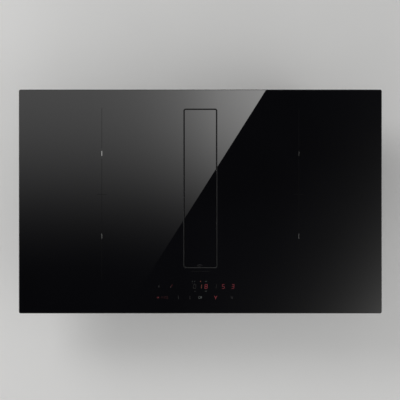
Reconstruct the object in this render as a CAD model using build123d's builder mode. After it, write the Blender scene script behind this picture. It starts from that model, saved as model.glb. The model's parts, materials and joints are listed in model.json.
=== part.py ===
from build123d import *
import math
import os

# Downdraft induction cooktop, in millimetres.
# The origin is the middle of the glass in plan, at the height of the worktop's surface.
# +X points right, +Y to the rear and +Z up.

# ---------------------------------------------------------------- driving dimensions
# Glass and worktop cut-out
GLASS_WIDTH = 830.0
GLASS_DEPTH = 512.0
GLASS_THICKNESS = 4.0
GLASS_CORNER_RADIUS = 4.0
GLASS_BEVEL = 1.2
OPENING_ARRIS = 0.4
SIDE_OVERLAP = 40.0
END_OVERLAP = 11.0
CUTOUT_PLAY = 3.0
GASKET_THICKNESS = 2.0
GASKET_WIDTH = 8.0
GASKET_INSET = 2.0

# Flap, its pivot and the intake
FLAP_WIDTH = 72.0
FLAP_FRONT_MARGIN = 106.7
FLAP_REAR_MARGIN = 46.3
FLAP_CORNER_RADIUS = 2.5
PIVOT_BELOW_GLASS = 4.0
FLAP_STOP_ANGLE = 60.0
FLAP_SIDE_GAP = 0.45
FLAP_END_GAP = 1.3
CARRIER_SHEET = 1.2
CARRIER_SIDE_MARGIN = 6.0
CARRIER_END_MARGIN = 7.5
CARRIER_FOLD = 4.0
LUG_THICKNESS = 3.0
PIN_RADIUS = 1.75
PIN_HEAD_RADIUS = 2.8
PIN_HEAD_THICKNESS = 1.2
RUNNING_FIT = 0.05
EAR_THICKNESS = 5.0
EAR_GAP = 1.0
EAR_CLEARANCE = 0.4

LIP_THICKNESS = 1.0
LIP_GLASS_GAP = 0.2
LIP_RECESS = 0.6
COLLAR_FLANGE_WIDTH = 10.0
COLLAR_FLANGE_THICKNESS = 2.0
SLEEVE_WALL = 2.0
SLEEVE_RUN_OUT = 3.5
SLEEVE_HOLE_GAP = 0.4
SEAL_WIDTH = 6.9
SEAL_THICKNESS = 3.0
LEDGE_WIDTH = 3.0
LEDGE_THICKNESS = 2.5

# Lift-out cassette
CASSETTE_GAP = 0.5
CASSETTE_RAIL = 3.3
CASSETTE_THICKNESS = 2.5
BASKET_CLEARANCE = 1.1
BASKET_RIM_THICKNESS = 1.0
BASKET_RIM_OVERLAP = 1.8
BASKET_GAP = 0.4
BASKET_SHEET = 0.8
BASKET_DEPTH = 75.0
BASKET_DRAFT = 2.0
BASKET_SLOT_WIDTH = 4.0
BASKET_SLOT_PITCH = 12.0
BASKET_SLOT_LENGTH = 46.0
BASKET_FLOOR_SLOT = 39.0

# Steel frame and tray
FRAME_SHEET = 0.8
FRAME_FLANGE = 16.0
FRAME_LEG = 14.0
FRAME_CORNER_RADIUS = 1.8
TRAY_GAP = 0.3
TRAY_SHEET = 1.0
TRAY_DEPTH = 50.0
TRAY_RIM_GAP = 1.0
TRAY_BEND = 2.5
PANEL_TAB = 12.0
BEAD_DEPTH = 0.6
BEAD_WIDTH = 10.0
BEAD_LENGTH = 190.0
BEAD_SPACING = 38.0
SCREW_RADIUS = 1.5
SCREW_HEAD_RADIUS = 3.5
SCREW_HEAD_HEIGHT = 1.6
SCREW_HOLE_GAP = 0.15
SCREW_BITE = 4.0
LONG_SIDE_SCREW_STEPS = (-0.4, -0.2, 0.2, 0.4)
SHORT_SIDE_SCREW_STEPS = (-0.2, 0.2)
CLIP_WIDTH = 20.0
CLIP_SHEET = 0.8
CLIP_EDGE_GAP = 0.2
CLIP_LENGTH = 27.0
CLIP_Y = 165.0

# Induction zones
ZONE_EDGE_DISTANCE = 189.7
ZONE_MIDDLE_Y = 15.45
ZONE_SPACING = 188.7
MICA_THICKNESS = 1.0
COIL_WIDTH = 200.0
COIL_LENGTH = 182.0
COIL_CORNER_RADIUS = 62.0
COIL_THICKNESS = 5.0
COIL_EYE_RADIUS = 24.0
FORMER_THICKNESS = 4.0
FORMER_WINDOW = 30.0
FERRITE_THICKNESS = 4.0
FERRITE_LENGTH = 50.0
FERRITE_WIDTH = 12.0
FERRITE_COUNT = 8
FERRITE_EYE_GAP = 6.0
COIL_PLATE_SHEET = 1.5
COIL_PLATE_MARGIN = 6.0
COIL_PLATE_FOLD = 6.0
POST_RADIUS = 4.5
POST_FOOT_RADIUS = 7.0
POST_FOOT_HEIGHT = 3.0
POST_SPREAD_X = 170.0
POST_SPREAD_Y = 240.0
SENSOR_RADIUS = 5.5
SENSOR_HOLE_GAP = 1.5
SENSOR_FOOT_GAP = 4.0

# Power electronics
BOARD_WIDTH = 150.0
BOARD_LENGTH = 250.0
BOARD_THICKNESS = 1.6
BOARD_RISE = 4.0
STANDOFF_RADIUS = 3.0
STANDOFF_INSET = 6.0
SINK_WIDTH = 56.0
SINK_LENGTH = 190.0
SINK_BASE = 5.0
SINK_FIN = 1.6
SINK_FIN_COUNT = 9
SINK_AIR_GAP = 5.0
SINK_INSET = 8.0
CAPACITOR_LENGTH = 30.0
CAPACITOR_WIDTH = 18.0
CAPACITOR_HEIGHT = 20.0
CAPACITOR_GAP = 27.0
CHOKE_RADIUS = 12.0
CHOKE_HEIGHT = 15.0
CHOKE_GAP = 166.0
FAN_SIZE = 80.0
FAN_THICKNESS = 25.0
FAN_BORE_RADIUS = 37.5
FAN_WALL_GAP = 9.0
FAN_SHIFT = 42.0
FAN_HUB_RADIUS = 18.0
FAN_BOSS_HEIGHT = 7.5
FAN_BLADE_GAP = 1.5
FAN_BLADE_COUNT = 7
FAN_BLADE_ANGLE = 55.0
FAN_BLADE_SHEET = 1.5
FAN_BLADE_ROOT = 16.2
FAN_BLADE_TRIM = 0.8
FAN_STRUT = 3.0
FAN_AXLE_RADIUS = 1.5
FAN_CORNER_RADIUS = 5.0
GRILLE_SPACING = 9.0
GRILLE_SLOT = 5.0
SIDE_SLOT_WIDTH = 3.5
SIDE_SLOT_HEIGHT = 20.0
SIDE_SLOT_COUNT = 14
SIDE_SLOT_DROP = 31.0

# Touch control behind the front of the glass
TOUCH_X = -12.4
TOUCH_FRONT_MARGIN = 53.0
TOUCH_HOLDER_WIDTH = 198.0
TOUCH_HOLDER_DEPTH = 45.0
TOUCH_HOLDER_WALL = 1.5
TOUCH_HOLDER_DROP = 11.0
TOUCH_BOARD_GAP = 0.4
TOUCH_SPRING_RADIUS = 3.5
TOUCH_SPRING_BORE_RADIUS = 2.1
TOUCH_SPRING_HEIGHT = 7.0
TOUCH_LEG_RADIUS = 4.0
KEY_SPACING = 20.5
KEY_COUNT = 9
KEY_WALL_GAP = 1.0
DISPLAY_DEPTH = 18.0
DISPLAY_GLASS_GAP = 0.6
DISPLAY_FRONT_MARGIN = 62.3
DISPLAY_BLOCKS = [(4.0, 36.0), (52.5, 18.0), (73.0, 18.0), (-84.0, 26.0)]

# Mains side
TERMINAL_X = -178.0
TERMINAL_REAR_MARGIN = 20.9
TERMINAL_WIDTH = 64.0
TERMINAL_DEPTH = 22.0
TERMINAL_HEIGHT = 20.0
TERMINAL_WAYS = 5
TERMINAL_SLOT_DEPTH = 13.0
COVER_WALL = 1.5
COVER_GAP = 0.5
GLAND_X = -120.0
GLAND_REAR_MARGIN = 26.9
GLAND_BORE_RADIUS = 7.0
GLAND_RADIUS = 10.0
GLAND_FLANGE_RADIUS = 13.0
GLAND_FLANGE_HEIGHT = 10.0
GLAND_INNER_LENGTH = 8.0
GLAND_NUT_HEIGHT = 5.0

# Air box under the tray
LID_THICKNESS = 2.5
TUB_WALL = 3.0
TUB_FLANGE_WIDTH = 9.0
TUB_FLANGE_THICKNESS = 3.0
TUB_CORNER_RADIUS = 22.0
TUB_REAR_RADIUS = 4.0
PLENUM_SIDE = 58.0
PLENUM_END = 11.0
PLENUM_DEPTH = 165.0
UNIT_DEPTH = 212.0
GUSSET_REACH = 7.0
GUSSET_DROP = 30.0
GUSSET_SHEET = 2.0
SIDE_SCREW_STEPS = (0.2, 0.5, 0.8)
REAR_SCREW_STEPS = (0.1, 0.45, 0.88)
FRONT_SCREW_STEPS = (-0.58, 0.58)
LEFT_GUSSET_STEPS = (0.095, 0.305, 0.72, 0.93)
RIGHT_GUSSET_STEPS = (0.35, 0.63, 0.91)
REAR_GUSSET_STEPS = (0.19, 0.59, 0.79, 0.97)
FRONT_GUSSET_STEPS = (-0.21, 0.21)
NECK_WIDTH = 104.0
NECK_LENGTH = 256.0
NECK_WALL = 2.5
NECK_HEIGHT = 8.0
NECK_CORNER_RADIUS = 12.0

# Condensate tray
CONDENSATE_GAP = 0.4
CONDENSATE_SEAT_GAP = 0.3
CONDENSATE_WALL = 2.2
CONDENSATE_RIM = 4.0
CONDENSATE_RIM_THICKNESS = 3.0
CONDENSATE_DRAFT = 2.0
CONDENSATE_TAB_WIDTH = 46.0
CONDENSATE_TAB_REACH = 14.0

# Blower
BLOWER_X = 176.0
BLOWER_Y = 55.0
WHEEL_RADIUS = 80.0
WHEEL_INNER_RADIUS = 66.0
WHEEL_HEIGHT = 68.0
WHEEL_SHEET = 2.0
WHEEL_TONGUE_GAP = 8.0
BLADE_COUNT = 30
BLADE_SHEET = 1.5
BLADE_SWEEP = 6.3
BLADE_CURVE_RADIUS = 12.6
VOLUTE_STEP = 7.0
TONGUE_LEAD = 6.0
SCROLL_WALL = 2.0
SCROLL_FLOOR = 2.5
SCROLL_ROOM = 10.0
SCROLL_BOSS_RADIUS = 4.0
BOSS_SET_OFF = 0.7
DIFFUSER_SCREW_STEP = 0.8
BELL_RADIUS = 14.0
BELL_THROAT_RADIUS = 60.0
BELL_WHEEL_GAP = 0.5
RUBBER_HEIGHT = 4.0
RUBBER_RADIUS = 7.0
MOTOR_FLANGE_THICKNESS = 3.0
MOTOR_FLANGE_RADIUS = 53.0
MOTOR_BOLT_RADIUS = 44.5
MOTOR_RADIUS = 36.0
MOTOR_HEIGHT = 46.0
MOTOR_ROUND = 5.0
WHEEL_FLANGE_GAP = 4.0
DOME_GAP = 3.0
SHAFT_RADIUS = 4.0
SHAFT_IN_MOTOR = 36.0
HUB_RADIUS = 9.0
HUB_LENGTH = 12.0
NUT_RADIUS = 7.0
NUT_HEIGHT = 5.0

# Outlet
OUTLET_WIDTH = 220.0
OUTLET_HEIGHT = 90.0
OUTLET_WALL = 2.0
OUTLET_CORNER_RADIUS = 10.0
OUTLET_LENGTH = 18.0
OUTLET_FLANGE_THICKNESS = 3.0
OUTLET_FLANGE_SIDE = 10.0
OUTLET_FLANGE_TOP = 4.0
OUTLET_SCREW_SPREAD = 63.0

# Control box of the extractor
CONTROL_FAN_GAP = 17.3
CONTROL_FRONT_MARGIN = 34.9
CONTROL_WIDTH = 140.0
CONTROL_DEPTH = 56.0
CONTROL_HEIGHT = 40.0
CONTROL_WALL = 2.0
CONTROL_COVER_THICKNESS = 2.5
CONTROL_BOSS_RADIUS = 4.0

# ---------------------------------------------------------------- derived heights and outlines
glass_bottom = GASKET_THICKNESS
glass_top = glass_bottom + GLASS_THICKNESS
cutout_width = GLASS_WIDTH - 2 * SIDE_OVERLAP
cutout_depth = GLASS_DEPTH - 2 * END_OVERLAP
zone_x = GLASS_WIDTH / 2 - ZONE_EDGE_DISTANCE
flap_length = GLASS_DEPTH - FLAP_FRONT_MARGIN - FLAP_REAR_MARGIN
intake_y = (FLAP_FRONT_MARGIN - FLAP_REAR_MARGIN) / 2
touch_y = TOUCH_FRONT_MARGIN - GLASS_DEPTH / 2
display_y = DISPLAY_FRONT_MARGIN - GLASS_DEPTH / 2
pivot_z = glass_bottom - PIVOT_BELOW_GLASS
flap_swing_radius = math.hypot(FLAP_WIDTH / 2, glass_top - pivot_z)

collar_width = 2 * (flap_swing_radius + FLAP_SIDE_GAP)
collar_length = flap_length + 2 * FLAP_END_GAP
collar_radius = FLAP_CORNER_RADIUS + FLAP_END_GAP
lip_border = LIP_THICKNESS + LIP_GLASS_GAP
opening_width = collar_width + 2 * lip_border
opening_length = collar_length + 2 * lip_border
opening_radius = collar_radius + lip_border

frame_width = cutout_width - 2 * CUTOUT_PLAY
frame_depth = cutout_depth - 2 * CUTOUT_PLAY
tray_width = frame_width - 2 * (FRAME_SHEET + TRAY_GAP)
tray_depth = frame_depth - 2 * (FRAME_SHEET + TRAY_GAP)
tray_inner_width = tray_width - 2 * TRAY_SHEET
tray_bottom = -TRAY_DEPTH
tray_floor = tray_bottom + TRAY_SHEET
tray_top = glass_bottom - FRAME_SHEET - TRAY_RIM_GAP
terminal_y = tray_depth / 2 - TERMINAL_REAR_MARGIN
gland_y = tray_depth / 2 - GLAND_REAR_MARGIN
fan_x = zone_x + FAN_SHIFT
fan_y = -(tray_depth / 2 - FAN_WALL_GAP - FAN_SIZE / 2)
control_x = fan_x - FAN_SIZE / 2 - CONTROL_FAN_GAP - CONTROL_WIDTH / 2
control_y = CONTROL_FRONT_MARGIN - tray_depth / 2

basket_rim_top = pivot_z - flap_swing_radius - BASKET_CLEARANCE
cassette_top = basket_rim_top - BASKET_RIM_THICKNESS
ledge_top = cassette_top - CASSETTE_THICKNESS
lid_bottom = tray_bottom - LID_THICKNESS
sleeve_bottom = min(lid_bottom, ledge_top - LEDGE_THICKNESS) - SLEEVE_RUN_OUT
sleeve_width = collar_width + 2 * SLEEVE_WALL
sleeve_length = collar_length + 2 * SLEEVE_WALL
sleeve_radius = collar_radius + SLEEVE_WALL

winding_top = glass_bottom - MICA_THICKNESS
former_top = winding_top - COIL_THICKNESS
ferrite_top = former_top - FORMER_THICKNESS
coil_plate_top = ferrite_top - FERRITE_THICKNESS
coil_plate_bottom = coil_plate_top - COIL_PLATE_SHEET
board_bottom = tray_floor + BOARD_RISE
board_top = board_bottom + BOARD_THICKNESS

tub_bottom = -UNIT_DEPTH
tub_floor = tub_bottom + TUB_WALL
scroll_floor = tub_floor + SCROLL_FLOOR
motor_flange_bottom = scroll_floor + RUBBER_HEIGHT
motor_flange_top = motor_flange_bottom + MOTOR_FLANGE_THICKNESS
motor_top = motor_flange_top + MOTOR_HEIGHT
wheel_bottom = motor_flange_top + WHEEL_FLANGE_GAP
wheel_top = wheel_bottom + WHEEL_HEIGHT
scroll_cover_top = wheel_top + BELL_WHEEL_GAP + BELL_RADIUS
scroll_ceiling = scroll_cover_top - SCROLL_FLOOR
plenum_bottom = -PLENUM_DEPTH
plenum_floor = plenum_bottom + TUB_WALL

# The blower's snail is drawn with four arcs, each one step larger than the one before it.
# Their centres are the corners of a small square round the wheel's axis.
volute_radii = [WHEEL_RADIUS + WHEEL_TONGUE_GAP + VOLUTE_STEP * quarter for quarter in range(4)]
volute_centres = [
    Vector(BLOWER_X, BLOWER_Y)
    + Vector(-VOLUTE_STEP / 2, VOLUTE_STEP / 2).rotate(Axis.Z, 90 * quarter)
    for quarter in range(4)
]
scroll_left = volute_centres[1].X - volute_radii[1]
scroll_front = volute_centres[2].Y - volute_radii[2]
scroll_right = volute_centres[3].X + volute_radii[3]
outlet_inner_width = OUTLET_WIDTH - 2 * OUTLET_WALL
outlet_inner_height = OUTLET_HEIGHT - 2 * OUTLET_WALL
outlet_x = scroll_right - outlet_inner_width / 2
outlet_z = (scroll_floor + scroll_ceiling) / 2

bay_border = SCROLL_WALL + SCROLL_ROOM + TUB_WALL
tub_left = -(collar_width / 2 + PLENUM_SIDE)
tub_right = scroll_right + bay_border
tub_front = intake_y - collar_length / 2 - PLENUM_END
tub_rear = intake_y + collar_length / 2 + PLENUM_END
bay_left = scroll_left - bay_border
bay_front = scroll_front - bay_border
scroll_rear = tub_rear - TUB_WALL

# The tongue sits just past the point where a line from the outlet's left edge touches the first arc.
outlet_left_edge = Vector(scroll_right - outlet_inner_width, scroll_rear)
to_outlet = outlet_left_edge - volute_centres[0]
outlet_angle = math.degrees(math.atan2(to_outlet.Y, to_outlet.X))
touch_angle = outlet_angle - math.degrees(math.acos(volute_radii[0] / to_outlet.length))
tongue_angle = touch_angle + TONGUE_LEAD

coil_centres = [
    (side * zone_x, ZONE_MIDDLE_Y + end * ZONE_SPACING / 2) for side in (-1, 1) for end in (-1, 1)
]
SIDES = {"left": -1, "right": 1}


def rounded_face(width, depth, radius, height, centre=(0, 0)):
    """A rounded rectangle lying at the given height."""
    with BuildSketch(Plane.XY.offset(height)) as face:
        with Locations(centre):
            RectangleRounded(width, depth, radius)
    return face.sketch


def ring_face(width, depth, radius, wall, height, centre=(0, 0)):
    """A rounded rectangular ring of even wall, lying at the given height."""
    with BuildSketch(Plane.XY.offset(height)) as face:
        with Locations(centre):
            RectangleRounded(width, depth, radius)
            inner_radius = max(radius - wall, radius / 4)
            RectangleRounded(width - 2 * wall, depth - 2 * wall, inner_radius, mode=Mode.SUBTRACT)
    return face.sketch


def moulded_face(corners, grow, height):
    """A moulded box's plan with large corner rounds, but tight ones along the rear, grown by grow."""
    with BuildSketch(Plane.XY.offset(height)) as face:
        Polygon(*corners, align=None)
        fillet(face.vertices().group_by(Axis.Y)[-1], TUB_REAR_RADIUS)
        other_corners = [corner for corner in face.vertices() if corner.Y < tub_rear - 2 * TUB_REAR_RADIUS]
        fillet(other_corners, TUB_CORNER_RADIUS)
        if grow:
            offset(amount=grow)
    return face.sketch


def air_box_face(grow, height):
    """The air box's plan: a box with one long slanted corner, grown by grow."""
    corners = [
        (tub_left, tub_front),
        (-tub_left, tub_front),
        (tub_right, bay_front),
        (tub_right, tub_rear),
        (tub_left, tub_rear),
    ]
    return moulded_face(corners, grow, height)


def blower_bay_face(grow, height):
    """The deep bay that holds the blower, grown by grow."""
    corners = [(bay_left, bay_front), (tub_right, bay_front), (tub_right, tub_rear), (bay_left, tub_rear)]
    return moulded_face(corners, grow, height)


def scroll_face(grow, height):
    """The blower's snail with its widening outlet, grown by grow and cut off square at the rear."""
    with BuildSketch(Plane.XY.offset(height)) as face:
        with BuildLine():
            tongue = CenterArc(volute_centres[0], volute_radii[0], tongue_angle, 90 - tongue_angle)
            for quarter in (1, 2, 3):
                arc = CenterArc(volute_centres[quarter], volute_radii[quarter], 90 * quarter, 90)
            outlet_right_edge = (scroll_right, scroll_rear)
            Line(arc @ 1, outlet_right_edge)
            Line(outlet_right_edge, outlet_left_edge)
            Line(outlet_left_edge, tongue @ 0)
        make_face()
        if grow:
            offset(amount=grow)
            with Locations((outlet_x, scroll_rear)):
                Rectangle(
                    2 * OUTLET_WIDTH, OUTLET_WIDTH, align=(Align.CENTER, Align.MIN), mode=Mode.SUBTRACT
                )
    return face.sketch


os.makedirs("parts", exist_ok=True)

# ---------------------------------------------------------------- glass and seal
with BuildPart() as glass_plate:
    with BuildSketch(Plane.XY.offset(glass_bottom)):
        RectangleRounded(GLASS_WIDTH, GLASS_DEPTH, GLASS_CORNER_RADIUS)
        with Locations((0, intake_y)):
            RectangleRounded(opening_width, opening_length, opening_radius, mode=Mode.SUBTRACT)
    extrude(amount=GLASS_THICKNESS)
    top_face = glass_plate.faces().sort_by(Axis.Z)[-1]
    chamfer(top_face.outer_wire().edges(), GLASS_BEVEL)
    top_face = glass_plate.faces().sort_by(Axis.Z)[-1]
    chamfer(top_face.inner_wires()[0].edges(), OPENING_ARRIS)
glass_plate.part.label = "glass_plate"
export_step(glass_plate.part, "parts/glass_plate.step")

with BuildPart() as perimeter_gasket:
    extrude(
        ring_face(
            GLASS_WIDTH - 2 * GASKET_INSET,
            GLASS_DEPTH - 2 * GASKET_INSET,
            GLASS_CORNER_RADIUS,
            GASKET_WIDTH,
            0,
        ),
        amount=GASKET_THICKNESS,
    )
perimeter_gasket.part.label = "perimeter_gasket"
export_step(perimeter_gasket.part, "parts/perimeter_gasket.step")

# ---------------------------------------------------------------- frame, tray and their screws
screw_z = (tray_top - FRAME_LEG) / 2


def wall_planes(positions_x, positions_y, half_width, half_depth, height):
    """Planes on the four upright walls, facing outwards, at the given places along each wall."""
    planes = []
    for side in (-1, 1):
        for x in positions_x:
            planes.append(Plane((x, side * half_depth, height), x_dir=(1, 0, 0), z_dir=(0, side, 0)))
        for y in positions_y:
            planes.append(Plane((side * half_width, y, height), x_dir=(0, 1, 0), z_dir=(side, 0, 0)))
    return planes


frame_screw_planes = wall_planes(
    [step * cutout_width for step in LONG_SIDE_SCREW_STEPS],
    [step * cutout_depth for step in SHORT_SIDE_SCREW_STEPS],
    frame_width / 2,
    frame_depth / 2,
    screw_z,
)
clip_planes = wall_planes((), (-CLIP_Y, CLIP_Y), tray_width / 2, tray_depth / 2, -FRAME_LEG)
clip_screw_drop = CLIP_LENGTH / 6

with BuildPart() as glass_frame:
    extrude(
        ring_face(
            frame_width, frame_depth, FRAME_CORNER_RADIUS, FRAME_FLANGE, glass_bottom - FRAME_SHEET
        ),
        amount=FRAME_SHEET,
    )
    extrude(
        ring_face(frame_width, frame_depth, FRAME_CORNER_RADIUS, FRAME_SHEET, -FRAME_LEG),
        amount=FRAME_LEG + glass_bottom - FRAME_SHEET,
    )
    with Locations(*frame_screw_planes):
        Hole(SCREW_RADIUS + SCREW_HOLE_GAP, 2 * FRAME_SHEET)
glass_frame.part.label = "glass_frame"
export_step(glass_frame.part, "parts/glass_frame.step")

with BuildPart() as frame_screws:
    for plane in frame_screw_planes:
        with BuildSketch(plane):
            Circle(SCREW_HEAD_RADIUS)
        extrude(amount=SCREW_HEAD_HEIGHT)
        with BuildSketch(plane):
            Circle(SCREW_RADIUS)
        extrude(amount=-(FRAME_SHEET + TRAY_GAP + SCREW_BITE))
frame_screws.part.label = "frame_screws"
export_step(frame_screws.part, "parts/frame_screws.step")

air_box_screw_points = [
    (x, bay_front + step * (tub_rear - bay_front))
    for x in (tub_left - TUB_FLANGE_WIDTH / 2, tub_right + TUB_FLANGE_WIDTH / 2)
    for step in SIDE_SCREW_STEPS
]
air_box_screw_points += [
    (tub_left + step * (tub_right - tub_left), tub_rear + TUB_FLANGE_WIDTH / 2) for step in REAR_SCREW_STEPS
]
air_box_screw_points += [
    (step * tub_left, tub_front - TUB_FLANGE_WIDTH / 2) for step in FRONT_SCREW_STEPS
]
control_boss_inset = CONTROL_WALL + BOSS_SET_OFF * CONTROL_BOSS_RADIUS
control_screw_points = [
    (
        control_x + side * (CONTROL_WIDTH / 2 - control_boss_inset),
        control_y + end * (CONTROL_DEPTH / 2 - control_boss_inset),
    )
    for side in (-1, 1)
    for end in (-1, 1)
]

# The tray is one folded sheet: the floor with a front and a rear wall.
with BuildPart() as base_tray:
    with BuildSketch(Plane((0, 0, 0), x_dir=(0, 1, 0), z_dir=(1, 0, 0))):
        with Locations((0, (tray_top + tray_bottom) / 2)):
            Rectangle(tray_depth, tray_top - tray_bottom)
    extrude(amount=tray_inner_width / 2, both=True)
    fillet(base_tray.edges().filter_by(Axis.X).group_by(Axis.Z)[0], TRAY_BEND)
    with BuildSketch(Plane((0, 0, 0), x_dir=(0, 1, 0), z_dir=(1, 0, 0))):
        with Locations((0, (tray_top + tray_floor) / 2)):
            inside = Rectangle(tray_depth - 2 * TRAY_SHEET, tray_top - tray_floor)
        fillet(inside.vertices().group_by(Axis.Y)[0], TRAY_BEND - TRAY_SHEET)
    extrude(amount=tray_inner_width / 2, both=True, mode=Mode.SUBTRACT)
    # Pressed beads stiffen the floor: raised inside, hollow outside.
    bead_points = [
        (side * zone_x + BEAD_SPACING * step, ZONE_MIDDLE_Y) for side in (-1, 1) for step in (-1, 0, 1)
    ]
    with BuildSketch(Plane.XY.offset(tray_floor)):
        with Locations(*bead_points):
            SlotOverall(BEAD_LENGTH, BEAD_WIDTH, rotation=90)
    extrude(amount=BEAD_DEPTH)
    with BuildSketch(Plane.XY.offset(tray_bottom)):
        with Locations(*bead_points):
            SlotOverall(BEAD_LENGTH - 2 * TRAY_SHEET, BEAD_WIDTH - 2 * TRAY_SHEET, rotation=90)
    extrude(amount=BEAD_DEPTH, mode=Mode.SUBTRACT)
    # The intake sleeve, the gland and the two fan grilles go through the floor.
    with BuildSketch(Plane.XY.offset(tray_bottom)):
        with Locations((0, intake_y)):
            RectangleRounded(
                sleeve_width + 2 * SLEEVE_HOLE_GAP,
                sleeve_length + 2 * SLEEVE_HOLE_GAP,
                sleeve_radius + SLEEVE_HOLE_GAP,
            )
        with Locations((GLAND_X, gland_y)):
            Circle(GLAND_RADIUS + SCREW_HOLE_GAP)
        with Locations(*air_box_screw_points, *control_screw_points):
            Circle(SCREW_RADIUS + SCREW_HOLE_GAP)
        for side in (-1, 1):
            for step in range(-3, 4):
                reach = math.sqrt(FAN_BORE_RADIUS**2 - (GRILLE_SPACING * step) ** 2)
                with Locations((side * fan_x + GRILLE_SPACING * step, fan_y)):
                    Rectangle(GRILLE_SLOT, 2 * (reach - GRILLE_SLOT))
    extrude(amount=TRAY_SHEET, mode=Mode.SUBTRACT)
    with Locations(*[plane for plane in frame_screw_planes if abs(plane.z_dir.Y) > 0.5]):
        Hole(SCREW_RADIUS + SCREW_HOLE_GAP, FRAME_SHEET + TRAY_GAP + 2 * TRAY_SHEET)
base_tray.part.label = "base_tray"
export_step(base_tray.part, "parts/base_tray.step")

# The two side panels close the tray's ends. Each has a tab folded behind the front and the rear wall.
with BuildPart() as side_panels:
    for side in (-1, 1):
        with BuildSketch(Plane((side * tray_inner_width / 2, 0, 0), x_dir=(0, side, 0), z_dir=(side, 0, 0))):
            with Locations((0, (tray_top + tray_bottom) / 2)):
                panel = Rectangle(tray_depth, tray_top - tray_bottom)
            fillet(panel.vertices().group_by(Axis.Y)[0], TRAY_BEND)
        extrude(amount=TRAY_SHEET)
        with BuildSketch(Plane((side * tray_inner_width / 2, 0, 0), x_dir=(0, side, 0), z_dir=(side, 0, 0))):
            with Locations((0, (tray_top + tray_bottom + PANEL_TAB) / 2)):
                with GridLocations(tray_depth - 3 * TRAY_SHEET, 0, 2, 1):
                    Rectangle(TRAY_SHEET, tray_top - tray_bottom - PANEL_TAB)
        extrude(amount=-PANEL_TAB)
        # Warm air leaves through slots.
        with BuildSketch(Plane((side * tray_width / 2, 0, 0), x_dir=(0, side, 0), z_dir=(side, 0, 0))):
            with Locations((0, -SIDE_SLOT_DROP)):
                with GridLocations(GRILLE_SPACING, 0, SIDE_SLOT_COUNT, 1):
                    SlotOverall(SIDE_SLOT_HEIGHT, SIDE_SLOT_WIDTH, rotation=90)
        extrude(amount=-TRAY_SHEET, mode=Mode.SUBTRACT)
    with Locations(*[plane for plane in frame_screw_planes if abs(plane.z_dir.X) > 0.5]):
        Hole(SCREW_RADIUS + SCREW_HOLE_GAP, FRAME_SHEET + TRAY_GAP + 2 * TRAY_SHEET)
    for plane in clip_planes:
        with Locations(Plane(plane.origin + Vector(0, 0, -clip_screw_drop), z_dir=plane.z_dir)):
            Hole(SCREW_RADIUS + SCREW_HOLE_GAP, 2 * TRAY_SHEET)
side_panels.part.label = "side_panels"
export_step(side_panels.part, "parts/side_panels.step")

# One bent strip: flat against the tray wall, bulging out to the cut-out's edge, and back.
clip_reach = cutout_width / 2 - CLIP_EDGE_GAP - tray_width / 2
clip_outline = [
    (0, 0),
    (0, -CLIP_LENGTH / 3),
    (clip_reach - CLIP_SHEET, -CLIP_LENGTH * 2 / 3),
    (0, -CLIP_LENGTH),
    (CLIP_SHEET, -CLIP_LENGTH),
    (clip_reach, -CLIP_LENGTH * 2 / 3),
    (CLIP_SHEET, -CLIP_LENGTH / 3),
    (CLIP_SHEET, 0),
]
with BuildPart() as spring_clips:
    for plane in clip_planes:
        side = plane.z_dir.X
        profile_plane = Plane(plane.origin, x_dir=(side, 0, 0), z_dir=(0, -side, 0))
        with BuildSketch(profile_plane):
            Polygon(*clip_outline, align=None)
        extrude(amount=CLIP_WIDTH / 2, both=True)
        with Locations(Plane(plane.origin + Vector(0, 0, -clip_screw_drop), z_dir=(side, 0, 0))):
            Hole(SCREW_RADIUS + SCREW_HOLE_GAP, 2 * CLIP_SHEET)
spring_clips.part.label = "spring_clips"
export_step(spring_clips.part, "parts/spring_clips.step")

with BuildPart() as clip_screws:
    for plane in clip_planes:
        side = plane.z_dir.X
        face_x = side * (tray_width / 2 + CLIP_SHEET)
        screw_plane = Plane((face_x, plane.origin.Y, -FRAME_LEG - clip_screw_drop), z_dir=(side, 0, 0))
        with BuildSketch(screw_plane):
            Circle(SCREW_HEAD_RADIUS)
        extrude(amount=SCREW_HEAD_HEIGHT)
        with BuildSketch(screw_plane):
            Circle(SCREW_RADIUS)
        extrude(amount=-(CLIP_SHEET + SCREW_BITE))
clip_screws.part.label = "clip_screws"
export_step(clip_screws.part, "parts/clip_screws.step")

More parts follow.
